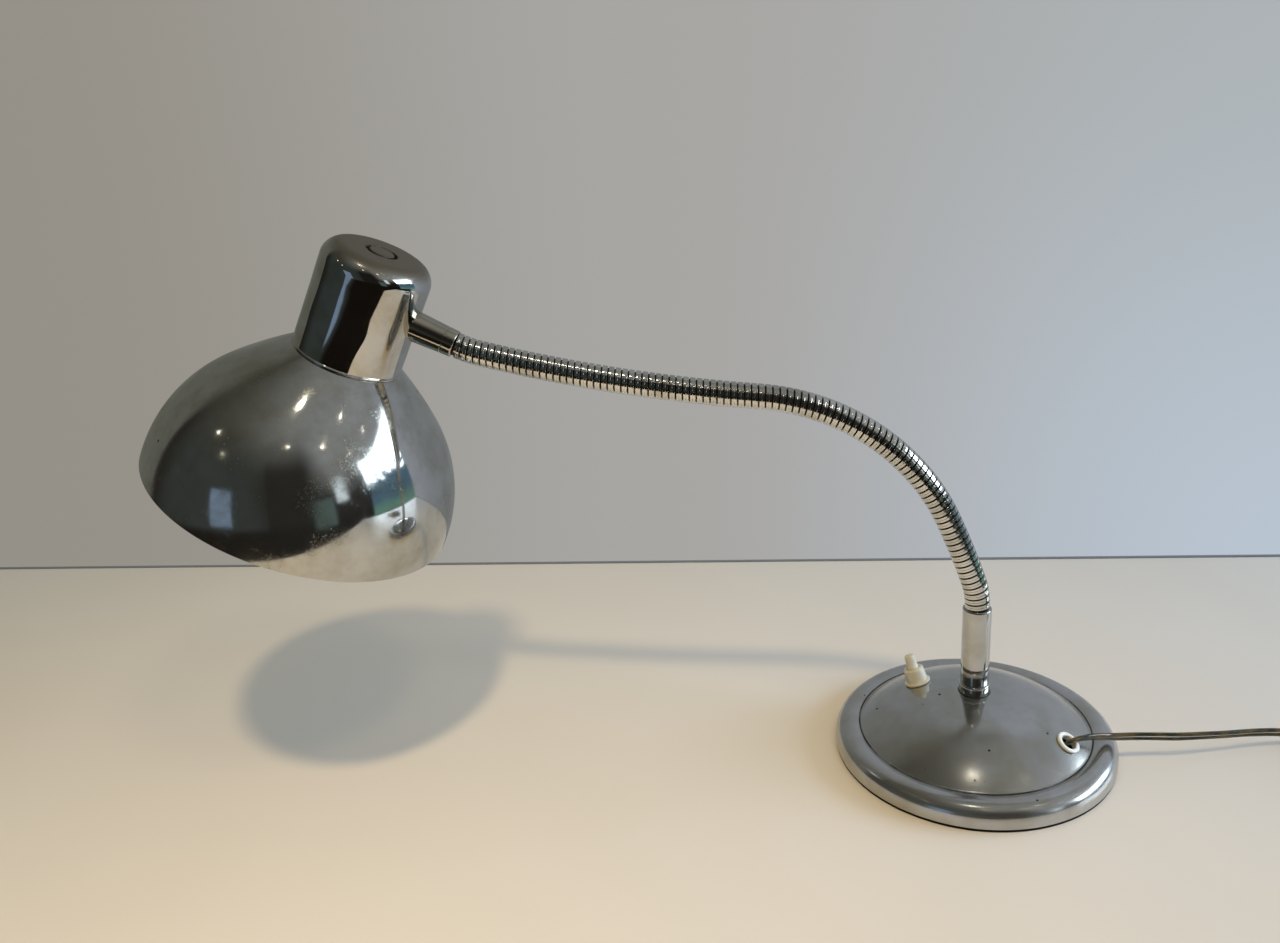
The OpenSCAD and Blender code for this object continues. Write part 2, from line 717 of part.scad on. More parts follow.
// a frame at the start of turn i, with Z along the turn
module at_turn(i) {
    translate(neck_points[i]) rotate([0, -turn_lean(i), 0]) children();
}

module band() {
    w = band_w;
    c = band_chamfer;
    translate([0, 0, groove_w / 2]) rotate_extrude()
        polygon([[0, 0], [band_r - c, 0], [band_r, c], [band_r, w - c], [band_r - c, w], [0, w]]);
}

// bands of four turns on a core; a ball at its upper end fits the next segment's cup
module neck_segment(k) {
    first = (k - 1) * turns_per_segment;
    last = first + turns_per_segment - 1;
    color(chrome) difference() {
        union() {
            for (i = [first:last]) at_turn(i) band();
            for (i = [first + 1:last]) at_turn(i) sphere(core_r);
            if (k < segments) at_turn(last) translate([0, 0, turn_pitch]) intersection() {
                sphere(core_r);
                translate([0, 0, ball_reach - core_r]) cube([neck_d, neck_d, 2 * core_r], center = true);
            }
            if (k == 1) {
                translate([0, 0, stem_top - tail_l]) cylinder(r = core_r, h = tail_l + groove_w / 2);
                at_turn(0) sphere(core_r);
            }
            if (k == segments) {
                at_turn(last) translate([0, 0, turn_pitch]) sphere(core_r);
                translate(neck_points[turns]) rotate([0, head_tilt - 90, 0])
                    cylinder(r = core_r, h = tail_l + groove_w / 2);
            }
        }
        for (i = [first:last]) at_turn(i) {
            translate([0, 0, -eps]) cylinder(r = bore_r, h = turn_pitch + 2 * eps);
            sphere(kink_bore_r);
        }
        at_turn(last) translate([0, 0, turn_pitch]) sphere(kink_bore_r);
        if (k < segments) at_turn(last) cylinder(r = bore_r, h = turn_pitch + core_r);
        if (k > 1) at_turn(first) sphere(cup_r);
        if (k == 1) cylinder(r = bore_r, h = stem_top + groove_w / 2);
        if (k == segments)
            translate(neck_points[turns]) rotate([0, head_tilt - 90, 0]) cylinder(r = bore_r, h = 2 * tail_l);
    }
}

// ---- head ----

module at_head() {
    translate(head_at) rotate([0, head_tilt, 0]) children();
}

module along_ferrule(x) {
    translate([x, 0, 0]) rotate([0, 90, 0]) children();
}

module head_ferrule() {
    shank_x = nut_seat_x - ferrule_nut_t - 1;
    color(chrome) at_head() difference() {
        union() {
            along_ferrule(cap_r) cylinder(r1 = ferrule_d / 2, r2 = ferrule_d_neck / 2, h = ferrule_l);
            along_ferrule(shank_x) cylinder(r = shank_r, h = cap_r + eps - shank_x);
        }
        along_ferrule(ferrule_x - tail_l - air) cylinder(r = core_r + tail_gap, h = tail_l + 1);
        along_ferrule(0) cylinder(r = wires_r, h = ferrule_x);
    }
}

module ferrule_nut() {
    color(steel) at_head() along_ferrule(nut_seat_x - ferrule_nut_t) difference() {
        cylinder(r = ferrule_nut_af / sqrt(3), h = ferrule_nut_t, $fn = 6);
        translate([0, 0, -eps]) cylinder(r = shank_r + fit, h = ferrule_nut_t + 1, $fn = 96);
    }
}

module lamp_cap() {
    color(chrome) at_head() difference() {
        translate([0, 0, seat_z]) rounded_ring(cap_r, 0, cap_above - seat_z, cap_round);
        difference() {
            translate([0, 0, seat_z - eps])
                rounded_ring(cap_r - sheet_t, 0, cap_above - seat_z - sheet_t + eps, cap_round - sheet_t);
            translate([0, 0, holder_top]) cylinder(r = well_r + sheet_t, h = cap_above);
        }
        translate([0, 0, well_floor]) cylinder(r = well_r, h = cap_above);
        cylinder(r = shank_r + fit, h = cap_above);
        along_ferrule(0) cylinder(r = shank_r + fit, h = cap_d);
    }
}

module cap_screw() {
    color(chrome) at_head() {
        translate([0, 0, well_floor]) rounded_ring(cap_screw_d / 2, 0, cap_screw_t, 0.8);
        translate([0, 0, well_floor - cap_screw_l]) cylinder(r = shank_r - fit, h = cap_screw_l + eps);
    }
}

// ---- lampholder and bulb ----

module holder_dome() {
    roof_z = holder_top - boss_h;
    color(bakelite) at_head() difference() {
        union() {
            translate([0, 0, joint_z - lip_l])
                rounded_ring(holder_r, 0, roof_z - joint_z + lip_l, dome_round);
            cylinder(r = boss_d / 2, h = holder_top);
        }
        translate([0, 0, joint_z - lip_l - eps]) cylinder(r = lip_r + fit, h = lip_l + eps);
        translate([0, 0, joint_z - eps]) cylinder(r = holder_r - dome_wall, h = roof_z - dome_wall - joint_z);
        cylinder(r = shank_r, h = cap_above);
        translate([0, 0, 2 * wires_r + joint_z]) along_ferrule(0) cylinder(r = wires_r, h = cap_r);
    }
}

module holder_skirt() {
    foot_z = seat_z - skirt_below;
    color(bakelite) at_head() difference() {
        union() {
            translate([0, 0, foot_z]) cylinder(r = skirt_thread_r, h = skirt_below + eps);
            translate([0, 0, seat_z]) cylinder(r = holder_r + flange_w, h = flange_t);
            translate([0, 0, seat_z]) cylinder(r = holder_r, h = skirt_above - lip_l);
            translate([0, 0, seat_z]) cylinder(r = lip_r, h = skirt_above - eps);
        }
        translate([0, 0, foot_z - 1]) cylinder(r = sleeve_r + sleeve_t + fit, h = joint_z - foot_z + 2);
        translate([0, 0, insert_z]) cylinder(r = insert_r + fit, h = joint_z - insert_z + 1);
    }
}

module holder_insert() {
    color(white) at_head() translate([0, 0, insert_z]) difference() {
        cylinder(r = insert_r, h = insert_t);
        for (side = [-1, 1]) translate([0, side * insert_r / 2, -1]) cylinder(r = 1.8, h = insert_t + 2);
    }
}

// the threaded sleeve that takes the bulb's cap, and the tongue that meets its centre contact
module holder_contacts() {
    color(brass) at_head() {
        translate([0, 0, insert_z - sleeve_l]) difference() {
            cylinder(r = sleeve_r + sleeve_t, h = sleeve_l);
            translate([0, 0, -1]) cylinder(r = sleeve_r, h = sleeve_l + 2);
        }
        translate([-tongue_w, -2 * tongue_l / 3 - tongue_w, 0] / 2 + [0, 0, insert_z - sleeve_t])
            cube([tongue_w, tongue_l, sleeve_t]);
        translate([-tongue_w / 2, -tongue_w / 2, contact_z]) cube([tongue_w, tongue_w, tongue_drop]);
    }
}

module shade_ring() {
    grips = 24;
    color(bakelite) at_head() translate([0, 0, seat_z - sheet_t - ring_t]) difference() {
        rounded_ring(ring_d / 2, skirt_thread_r + fit, ring_t, 1, 1);
        for (i = [0:grips - 1]) rotate([0, 0, i * 360 / grips])
            translate([ring_d / 2 + 0.4, 0, -1]) cylinder(r = 1, h = ring_t + 2, $fn = 24);
    }
}

module shade_outline(inset) {
    intersection() {
        ball_and_cone(shade_r, cap_r, shade_depth, inset);
        translate([0, -shade_depth]) square([shade_r, shade_depth - inset]);
    }
}

module shade_bead() {
    translate([shade_r - bead_r, bead_r - shade_depth]) circle(bead_r, $fn = 48);
}

module shade() {
    color(chrome) at_head() translate([0, 0, seat_z]) difference() {
        rotate_extrude() {
            difference() {
                shade_outline(0);
                shade_outline(sheet_t);
                translate([0, -2 * shade_depth + eps]) square([shade_r - 2 * sheet_t, shade_depth]);
            }
            shade_bead();
        }
        translate([0, 0, -2 * sheet_t]) cylinder(r = skirt_thread_r + fit, h = 4 * sheet_t);
    }
}

module bulb_outline(inset) {
    drop = bulb_neck_z - bulb_cz;
    translate([0, drop]) ball_and_cone(bulb_d / 2, bulb_neck_r, drop, inset);
    translate([0, drop - eps]) square([bulb_neck_r - inset, bulb_cap_l]);
}

module bulb_glass() {
    color(white) at_head() translate([0, 0, bulb_cz]) rotate_extrude() difference() {
        bulb_outline(0);
        bulb_outline(glass_t);
        translate([0, bulb_cap_z - bulb_cz]) square([bulb_d, bulb_l]);
    }
}

module bulb_cap() {
    r = bulb_cap_d / 2;
    button_r = 5;
    taper_l = 3.5;
    threaded_l = bulb_cap_l - taper_l - 1.5;
    color(brass) at_head() translate([0, 0, bulb_cap_z]) difference() {
        union() {
            cylinder(r = r, h = threaded_l);
            translate([0, 0, threaded_l - eps]) cylinder(r1 = r, r2 = button_r + 1, h = taper_l);
            cylinder(r = button_r, h = bulb_cap_l);
        }
        translate([0, 0, -1]) cylinder(r = r - sheet_t, h = threaded_l);
    }
}

// ---- cord ----

module mains_cord() {
    color(copper_green) swept(cord_points);
}

module cord_tail() {
    color(copper_green) swept(tail_points);
}

module cord_coil() {
    color(copper_green) translate(coil_at + [0, 0, coil_lift]) rotate_extrude()
        translate([coil_in_r, 0]) square([coil_out_r - coil_in_r, coil_h]);
}

module cord_tie() {
    from = sqrt(coil_in_r ^ 2 - (tie_w / 2) ^ 2);
    inner_w = coil_out_r - from;
    color(black) translate(coil_at) rotate([0, 0, tie_az])
        translate([from - tie_t, -tie_w / 2, 0]) difference() {
            cube([inner_w + 2 * tie_t, tie_w, coil_h + coil_lift + tie_t]);
            translate([tie_t, -1, tie_t]) cube([inner_w, tie_w + 2, coil_h + coil_lift - tie_t]);
        }
}

module plug_body() {
    waist_l = 16;
    face_l = 8;
    half = [
        [plug_w / 2, 0], [plug_w / 2 - 2, waist_l], [plug_face_w / 2, plug_l - face_l],
        [plug_face_w / 2, plug_l]
    ];
    grip = concat(half, [for (i = [3:-1:0]) [-half[i][0], half[i][1]]]);
    color(white) translate(plug_at) rotate([0, 0, 180]) difference() {
        union() {
            rotate([-90, 0, 0]) cylinder(r1 = 3.2, r2 = 5, h = relief_l + eps);
            translate([0, relief_l, -plug_t / 2]) linear_extrude(plug_t) polygon(grip);
        }
        for (side = [-1, 1]) translate([side * pin_pitch / 2, relief_l + plug_l + eps, 0])
            rotate([90, 0, 0]) cylinder(r = pin_root_r + fit / 4, h = pin_root + air);
    }
}

module plug_pins() {
    color(brass) translate(plug_at) rotate([0, 0, 180]) for (side = [-1, 1])
        translate([side * pin_pitch / 2, relief_l + plug_l + pin_l, 0]) rotate([90, 0, 0]) {
            cylinder(r = pin_d / 2, h = pin_l);
            translate([0, 0, pin_l - eps]) cylinder(r = pin_root_r, h = pin_root + eps);
        }
}

// ---- the nodes ----

felt_pad();
bottom_plate();
plate_screws();
base_weight();
base_shell();
stem_collar();
stem_tube();
stem_rod();
stem_washer();
stem_nut();
switch_body();
switch_collar();
switch_plunger();
switch_terminals();
cord_grommet();
inner_flex();
flex_clamp();
for (k = [1:segments]) neck_segment(k);
head_ferrule();
ferrule_nut();
lamp_cap();
cap_screw();
holder_dome();
holder_skirt();
holder_insert();
holder_contacts();
shade_ring();
shade();
bulb_glass();
bulb_cap();
mains_cord();
cord_coil();
cord_tail();
cord_tie();
plug_body();
plug_pins();
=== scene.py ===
"""Gooseneck desk lamp: chromium-plated base, neck and bowl shade, ivory push switch, clear twin flex.

Lengths in this file are millimetres in the lamp's own frame, until a piece is made in metres.
"""

from math import asin, copysign, cos, degrees, hypot, pi, radians, sin, sqrt

import bmesh
import bpy
from mathutils import Matrix, Vector, noise


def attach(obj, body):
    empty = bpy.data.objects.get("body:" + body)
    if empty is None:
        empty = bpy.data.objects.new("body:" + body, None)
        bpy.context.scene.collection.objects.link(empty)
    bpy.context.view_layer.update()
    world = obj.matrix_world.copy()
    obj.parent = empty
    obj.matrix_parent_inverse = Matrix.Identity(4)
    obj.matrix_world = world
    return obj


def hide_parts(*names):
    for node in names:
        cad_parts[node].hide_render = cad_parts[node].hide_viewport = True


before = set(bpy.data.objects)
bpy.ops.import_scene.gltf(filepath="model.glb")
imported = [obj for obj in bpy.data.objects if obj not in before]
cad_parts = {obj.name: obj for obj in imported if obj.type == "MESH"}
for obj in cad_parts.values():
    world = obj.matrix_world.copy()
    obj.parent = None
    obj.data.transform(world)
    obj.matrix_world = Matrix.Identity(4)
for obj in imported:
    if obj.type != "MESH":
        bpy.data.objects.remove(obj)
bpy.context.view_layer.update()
MM = 0.001
scene = bpy.context.scene
scene.view_settings.view_transform = "Standard"

# ---- camera ----


def set_camera():
    """Stands in front of the lamp and above it, and looks down at it, a little turned and rolled."""
    lens = bpy.data.cameras.new("camera")
    lens.sensor_width = 36
    lens.lens = 29.451
    lens.clip_start = 0.01
    turned_left, looking_down, rolled = 7.506, 20.32, -4.68
    turn = (
        Matrix.Rotation(radians(turned_left), 3, "Z")
        @ Matrix.Rotation(radians(90 - looking_down), 3, "X")
        @ Matrix.Rotation(radians(rolled), 3, "Z")
    )
    camera = bpy.data.objects.new("camera", lens)
    camera.matrix_world = Matrix.Translation((-0.1147, -0.54664, 0.3858)) @ turn.to_4x4()
    scene.collection.objects.link(camera)
    scene.camera = camera


set_camera()

# ---- shapes ----


def arc(centre, radius, start, end, steps):
    """Points on a circle in the (radius, height) plane; angles in degrees."""
    angles = [radians(start + (end - start) * i / steps) for i in range(steps + 1)]
    return [(centre[0] + radius * cos(a), centre[1] + radius * sin(a)) for a in angles]


def turn_outline(outline, steps=128, finishes=None, on_axis=False):
    """Turns a closed outline of (radius, height) points about Z, as on a lathe.

    finishes gives the material of the strip that starts at each point. on_axis leaves the outline open,
    for one that starts and ends on the axis.
    """
    points, rings, faces, paint = [], [], [], []
    for radius, height in outline:
        if radius < 1e-4:
            rings.append([len(points)] * steps)
            points.append((0, 0, height))
            continue
        rings.append([len(points) + i for i in range(steps)])
        for i in range(steps):
            a = 2 * pi * i / steps
            points.append((radius * cos(a), radius * sin(a), height))
    last = len(rings) - 1 if on_axis else len(rings)
    for k in range(last):
        low, high = rings[k], rings[(k + 1) % len(rings)]
        for i in range(steps):
            j = (i + 1) % steps
            face = list(dict.fromkeys([low[i], low[j], high[j], high[i]]))
            if len(face) > 2:
                faces.append(face)
                paint.append(finishes[k] if finishes else 0)
    return points, faces, paint


def skin_rings(rings, size):
    """Faces between rings of size points each, one ring after the other, and a face on each end."""
    faces = []
    for low in range(0, (rings - 1) * size, size):
        for k in range(size):
            n = (k + 1) % size
            faces.append([low + k, low + n, low + size + n, low + size + k])
    faces.append(list(range(size)))
    faces.append([(rings - 1) * size + k for k in reversed(range(size))])
    return faces


def face_outward(mesh):
    """Turns the faces of a closed mesh outward."""
    shell = bmesh.new()
    shell.from_mesh(mesh)
    bmesh.ops.recalc_face_normals(shell, faces=shell.faces)
    shell.to_mesh(mesh)
    shell.free()


def make_piece(name, shape, finishes, body="base", stands_for=(), place=None, sharp=35):
    """Makes a piece of the lamp from (points, faces) or (points, faces, paint) in millimetres, on its body.

    Each point also keeps where it was on the lathe, in metres, so that a finish can follow the turning.
    """
    points, faces, *paint = shape
    mesh = bpy.data.meshes.new(name)
    mesh.from_pydata([Vector(p) * MM for p in points], [], faces)
    on_lathe = mesh.attributes.new("turned", "FLOAT_VECTOR", "POINT")
    on_lathe.data.foreach_set("vector", [c * MM for p in points for c in p])
    for finish in finishes:
        mesh.materials.append(finish)
    if paint:
        mesh.polygons.foreach_set("material_index", paint[0])
    if place is not None:
        for vertex in mesh.vertices:
            vertex.co = (place @ (vertex.co / MM)) * MM
    face_outward(mesh)
    mesh.shade_smooth()
    mesh.set_sharp_from_angle(angle=radians(sharp))
    made = bpy.data.objects.new(name, mesh)
    scene.collection.objects.link(made)
    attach(made, body)
    if stands_for:
        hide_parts(*stands_for)
    return made


def dent(points, depth, width, seed):
    """Lets sheet metal lie a little unevenly, as spun sheet does: moves points toward the axis or away."""
    uneven = []
    for x, y, z in points:
        out = hypot(x, y) or 1
        shift = depth * noise.noise(Vector((x, y, z)) / width + Vector((seed, 0, 0)))
        uneven.append((x * (1 + shift / out), y * (1 + shift / out), z))
    return uneven


# ---- finishes ----


def linear(hex_colour):
    """An sRGB hex colour as the linear colour that the shaders take."""
    parts = [int(hex_colour[i : i + 2], 16) / 255 for i in (1, 3, 5)]
    return (*[c / 12.92 if c <= 0.04045 else ((c + 0.055) / 1.055) ** 2.4 for c in parts], 1.0)


def node(tree, kind, links=None, out=0, **settings):
    """Adds a node and gives its output out, by name or number.

    links sets its inputs, by name or number too, to a value, to a hex colour or to another node's output.
    """
    made = tree.nodes.new("ShaderNode" + kind)
    for name, value in settings.items():
        setattr(made, name, value)
    for name, source in (links or {}).items():
        if isinstance(source, bpy.types.NodeSocket):
            tree.links.new(source, made.inputs[name])
        else:
            made.inputs[name].default_value = linear(source) if isinstance(source, str) else source
    return made.outputs[out] if made.outputs else None


def new_finish(name, colour, roughness, **sockets):
    """A material with its constants on the shader's own sockets."""
    material = bpy.data.materials.new(name)
    material.use_nodes = True
    shader = material.node_tree.nodes["Principled BSDF"]
    shader.inputs["Base Color"].default_value = linear(colour)
    shader.inputs["Roughness"].default_value = roughness
    for socket, value in sockets.items():
        shader.inputs[socket.replace("_", " ")].default_value = value
    return material, material.node_tree, shader


def lay_over(tree, below, above, edges, shape="SMOOTHSTEP"):
    """Lays one colour over another, as far as its edges let it.

    An edge (value, start, end) hides it where value is at start, and shows it where value is at end.
    """
    cover = None
    for value, start, end in edges:
        ramp = {"Value": value, "From Min": start, "From Max": end}
        edge = node(tree, "MapRange", ramp, interpolation_type=shape)
        if cover is None:
            cover = edge
        else:
            cover = node(tree, "Math", {0: cover, 1: edge}, operation="MULTIPLY")
    return node(tree, "Mix", {0: cover, 6: below, 7: above}, out=2, data_type="RGBA")


def grained(name, colour, roughness, grain_mm, depth, detail=4.0, distortion=0.0, **sockets):
    """A material whose surface has an even grain of grain_mm, depth in mm, that breaks up the light.

    Gives the material, its tree, its shader, where a point lies on its piece, and the grain from 0 to 1.
    """
    material, tree, shader = new_finish(name, colour, roughness, **sockets)
    place = node(tree, "TexCoord", out="Object")
    pattern = {"Vector": place, "Scale": 1 / (grain_mm * MM), "Detail": detail, "Distortion": distortion}
    grain = node(tree, "TexNoise", pattern)
    bump = node(tree, "Bump", {"Height": grain, "Distance": depth * MM})
    tree.links.new(bump, shader.inputs["Normal"])
    return material, tree, shader, place, grain


def turned_at(tree):
    """Where a point was on the lathe: its place, its distance from the axis and its height, in metres."""
    place = node(tree, "Attribute", out="Vector", attribute_name="turned")
    x, y, z = node(tree, "SeparateXYZ", {0: place}).node.outputs
    across = node(tree, "CombineXYZ", {"X": x, "Y": y})
    return place, node(tree, "VectorMath", {0: across}, out="Value", operation="LENGTH"), z


def chromium(
    name, rough, haze, scuff, lines, pits,
    dirt_and_shade=(), tint="#c4c5c5", stain="#aeaca2", film=0.0, wiped=0.0, dull_above=None,
):
    """Chromium plate on spun steel, buffed round the axis and wiped for years.

    The eye gets a cool mirror, drawn out across the buffing lines, hazier in clouds about 20 mm wide, with
    dark pits where the plate has let go. rough, haze and scuff are the roughness of clear places, of hazy
    ones and of worn specks; lines is the depth of the buffing lines in mm; pits the share of 5 mm fields
    that hold a pit; dirt_and_shade the (radius, reach) in mm of each corner painted dark, as grime and as
    painted shade; stain the colour that the clouds drift to; film the share of the plate under dull grime;
    wiped the roughness that wiping adds from 18 to 45 mm off the axis; dull_above the height in mm from
    which the plate is tarnished.
    """
    material, tree, plate = new_finish(name, tint, rough, Metallic=1.0 - film)
    place, radius, height = turned_at(tree)
    cloud_form = {"Vector": place, "Scale": 1 / (20 * MM), "Detail": 5.0, "Roughness": 0.6}
    clouds = node(tree, "TexNoise", cloud_form)
    hazing = {"Value": clouds, "From Min": 0.35, "From Max": 0.7, "To Min": rough, "To Max": haze}
    wear = node(tree, "MapRange", hazing)
    # worn specks of 1 mm scatter what the clear plate mirrors, most of all in the clouds
    specks = node(tree, "TexNoise", {"Vector": place, "Scale": 900.0, "Detail": 3.0})
    worn = node(tree, "Math", {0: specks, 1: clouds}, operation="MULTIPLY")
    rubbed = node(tree, "MapRange", {"Value": worn, "From Min": 0.3, "From Max": 0.42})
    roughness = node(tree, "Mix", {0: rubbed, 2: wear, 3: scuff})
    if wiped:
        wiping = {"Value": radius, "From Min": 18 * MM, "From Max": 45 * MM, "To Max": wiped}
        dulled = node(tree, "MapRange", wiping, interpolation_type="SMOOTHSTEP")
        roughness = node(tree, "Math", {0: roughness, 1: dulled}, operation="ADD")
    colour = lay_over(tree, tint, stain, [(clouds, 0.4, 0.75)], "LINEAR")
    if dull_above is not None:
        # the tarnish sets in over 5 mm of height
        climb = {"Value": height, "From Min": (dull_above - 2.5) * MM, "From Max": (dull_above + 2.5) * MM}
        tarnish = node(tree, "MapRange", climb, interpolation_type="SMOOTHSTEP")
        colour = node(tree, "Mix", {0: tarnish, 6: colour, 7: "#8f8674"}, out=2, data_type="RGBA")
        roughness = node(tree, "Mix", {0: tarnish, 2: roughness, 3: 0.38})
    # buffing lines are about 0.05 mm apart; 0.7 mm shows in the render
    ring = node(tree, "CombineXYZ", {"X": radius, "Z": height})
    buffing = node(tree, "TexNoise", {"Vector": ring, "Scale": 1400.0, "Detail": 3.0})
    bump = node(tree, "Bump", {"Height": buffing, "Distance": lines * MM})
    tree.links.new(bump, plate.inputs["Normal"])
    # pits of up to 1.8 mm, one at most in each field of 5 mm
    fields = node(tree, "TexVoronoi", {"Vector": place, "Scale": 1 / (5 * MM)}).node.outputs
    chance = node(tree, "SeparateXYZ", {0: fields["Color"]}, out="X")
    sizes = {"Value": chance, "From Min": 1 - pits, "To Min": 0.04, "To Max": 0.18}
    size = node(tree, "MapRange", sizes)
    inside = node(tree, "Math", {0: fields["Distance"], 1: size}, operation="LESS_THAN")
    has_pit = node(tree, "Math", {0: chance, 1: 1 - pits}, operation="GREATER_THAN")
    dark = node(tree, "Math", {0: inside, 1: has_pit}, operation="MULTIPLY")
    # each corner is painted dark: partly grime, partly painted shade where a groove or gap lies in shade
    for corner, width in dirt_and_shade:
        off = node(tree, "Math", {0: radius, 1: corner * MM}, operation="SUBTRACT")
        near = node(tree, "Math", {0: off}, operation="ABSOLUTE")
        reach = {"Value": near, "From Max": width * MM, "To Min": 1.0, "To Max": 0.0}
        line = node(tree, "MapRange", reach, interpolation_type="SMOOTHSTEP")
        patchy = node(tree, "MapRange", {"Value": clouds, "From Min": 0.2, "From Max": 0.5})
        grime_and_shade = node(tree, "Math", {0: line, 1: patchy}, operation="MULTIPLY")
        dark = node(tree, "Math", {0: dark, 1: grime_and_shade}, operation="MAXIMUM")
    # pits, grime and painted shade all take this dark colour
    pits_grime_and_shade = node(tree, "Mix", {0: dark, 6: colour, 7: "#2b2721"}, out=2, data_type="RGBA")
    tree.links.new(pits_grime_and_shade, plate.inputs["Base Color"])
    dull = node(tree, "Mix", {0: dark, 2: roughness, 3: 0.75})
    tree.links.new(dull, plate.inputs["Roughness"])
    return material


def plain_metal(name, colour, roughness, grain_mm, depth):
    """Bare, cast or zinc-plated metal, duller on top of its grain than in the hollows."""
    material, tree, metal, _, grain = grained(name, colour, roughness, grain_mm, depth, Metallic=1.0)
    span = {"Value": grain, "To Min": roughness - 0.1, "To Max": roughness + 0.15}
    tree.links.new(node(tree, "MapRange", span), metal.inputs["Roughness"])
    return material


def moulded(name, colour, stain, roughness, grain_mm=0.6, depth=0.01, **sockets):
    """Moulded plastic or glazed ware: faint orange peel, and clouds of stain about 6 mm wide."""
    material, tree, plastic, place, _ = grained(name, colour, roughness, grain_mm, depth, 2.0, **sockets)
    clouds = node(tree, "TexNoise", {"Vector": place, "Scale": 1 / (6.25 * MM), "Detail": 4.0})
    aged = lay_over(tree, colour, stain, [(clouds, 0.4, 0.75)], "LINEAR")
    tree.links.new(aged, plastic.inputs["Base Color"])
    return material


# the base: buffed coarser than the rest, dull from wiping, grime and painted shade in the groove and at the
# stem's foot
worn_chromium = chromium(
    "worn_chromium", 0.06, 0.11, 0.09, 0.0014, 0.07,
    dirt_and_shade=((65.9, 0.9), (8.9, 0.5)), tint="#bfc0c0", film=0.05, wiped=0.15,
)
# the rolled rim takes the knocks, and is satin by now; its edge of the groove has grime and painted shade
# too
rim_chromium = chromium(
    "rim_chromium", 0.17, 0.24, 0.22, 0.0016, 0.05, dirt_and_shade=((65.9, 0.9),), tint="#c2c3c4", film=0.07
)
stem_chromium = chromium("stem_chromium", 0.03, 0.05, 0.06, 0.0003, 0.02)
shade_chromium = chromium(
    "shade_chromium", 0.05, 0.15, 0.28, 0.001, 0.016, tint="#c1c2c1", stain="#a1a095", film=0.02
)
ferrule_chromium = chromium("ferrule_chromium", 0.06, 0.12, 0.16, 0.0006, 0.02, tint="#c8bfb0")
# the shade's inside keeps the dull plate that the buffing wheel never reached
unbuffed_chromium = chromium("unbuffed_chromium", 0.32, 0.45, 0.5, 0.004, 0.02, tint="#b9bab8")
# the cap: a ring round its screw in the well is painted dark, grime and painted shade in the gap
cap_chromium = chromium(
    "cap_chromium", 0.035, 0.06, 0.12, 0.0006, 0.03, dirt_and_shade=((7.7, 2.2),), stain="#a8a18e", dull_above=27.5
)
strip_chromium = chromium("strip_chromium", 0.09, 0.14, 0.2, 0.0, 0.01, tint="#dedcd6")
# the neck's inner strip: steel that was never plated, oiled and full of dust,
# and painted darker still for the shade in the gaps between the bands
bare_strip_in_shade = plain_metal("oiled_steel_strip_in_shade", "#39342d", 0.55, 0.4, 0.01)
cast_iron = plain_metal("cast_iron", "#4c4b4a", 0.7, 1.2, 0.12)
zinc_steel = plain_metal("zinc_plated_steel", "#9a9da1", 0.38, 0.3, 0.01)
holder_brass = plain_metal("stamped_brass", "#c8a866", 0.25, 0.5, 0.006)
bulb_tin = plain_metal("stamped_aluminium", "#b7b8ba", 0.3, 0.5, 0.006)
# urea resin, ivory once, gone yellow; hard and a little waxy
ivory_urea = moulded(
    "ivory_urea_resin", "#d9d5c6", "#c3bba3", 0.34,
    Subsurface_Weight=0.12, Subsurface_Radius=(1.0, 0.7, 0.4), Subsurface_Scale=2 * MM,
)
white_nylon = moulded("white_nylon", "#f1f0ea", "#dedacb", 0.28)
phenolic = moulded("brown_black_phenolic", "#241d1a", "#33261f", 0.3)
black_phenolic = moulded("black_phenolic", "#161517", "#1f1d1c", 0.42)
glazed_porcelain = moulded("glazed_porcelain", "#eeebe2", "#dcd7c9", 0.15)
plug_vinyl = moulded("white_plug_vinyl", "#e9e7e0", "#dad5c8", 0.42, grain_mm=0.4, depth=0.02)


def felt():
    """Pressed black wool felt: no gloss, and short fibres about 1 mm long that catch light at the edge."""
    material, tree, wool, _, fibres = grained(
        "black_wool_felt", "#0b0b0b", 0.95, grain_mm=10 / 9, depth=0.15, detail=6.0, distortion=2.0,
        Sheen_Weight=0.04, Specular_IOR_Level=0.1, Sheen_Roughness=0.6,
    )
    shades = lay_over(tree, "#060606", "#131313", [(fibres, 0, 1)], "LINEAR")
    tree.links.new(shades, wool.inputs["Base Color"])
    return material


def vinyl_sheath():
    """Clear extruded vinyl, yellowed: see-through, with a soft gloss and fine draw marks."""
    vinyl = grained(
        "clear_vinyl", "#f3f2e4", 0.06, grain_mm=10 / 7, depth=0.02, detail=2.0,
        IOR=1.53, Transmission_Weight=1.0,
    )
    return vinyl[0]


def green_copper():
    """Stranded copper that has reacted with its vinyl: brown where it is still metal, green in patches."""
    # the strands are 0.2 mm thick; 0.67 mm shows in the render
    material, tree, copper, place, _ = grained(
        "tarnished_copper", "#6e5834", 0.6, grain_mm=2 / 3, depth=0.1, detail=1.0, Metallic=0.2
    )
    patches = node(tree, "TexNoise", {"Vector": place, "Scale": 130.0, "Detail": 4.0})
    shades = lay_over(tree, "#7d6238", "#363c1e", [(patches, 0.4, 0.6)], "LINEAR")
    tree.links.new(shades, copper.inputs["Base Color"])
    return material


def frosted_glass():
    """A lamp bulb frosted inside: milky, even and satin, with a faint gloss of the smooth outside."""
    material, tree, glass = new_finish(
        "frosted_glass", "#eef0ef", 0.45,
        IOR=1.5, Transmission_Weight=0.35, Coat_Weight=0.6, Coat_Roughness=0.05,
    )
    place = node(tree, "TexCoord", out="Object")
    etch = node(tree, "TexNoise", {"Vector": place, "Scale": 1 / (2.5 * MM), "Detail": 3.0})
    spread = node(tree, "MapRange", {"Value": etch, "To Min": 0.35, "To Max": 0.55})
    tree.links.new(spread, glass.inputs["Roughness"])
    return material


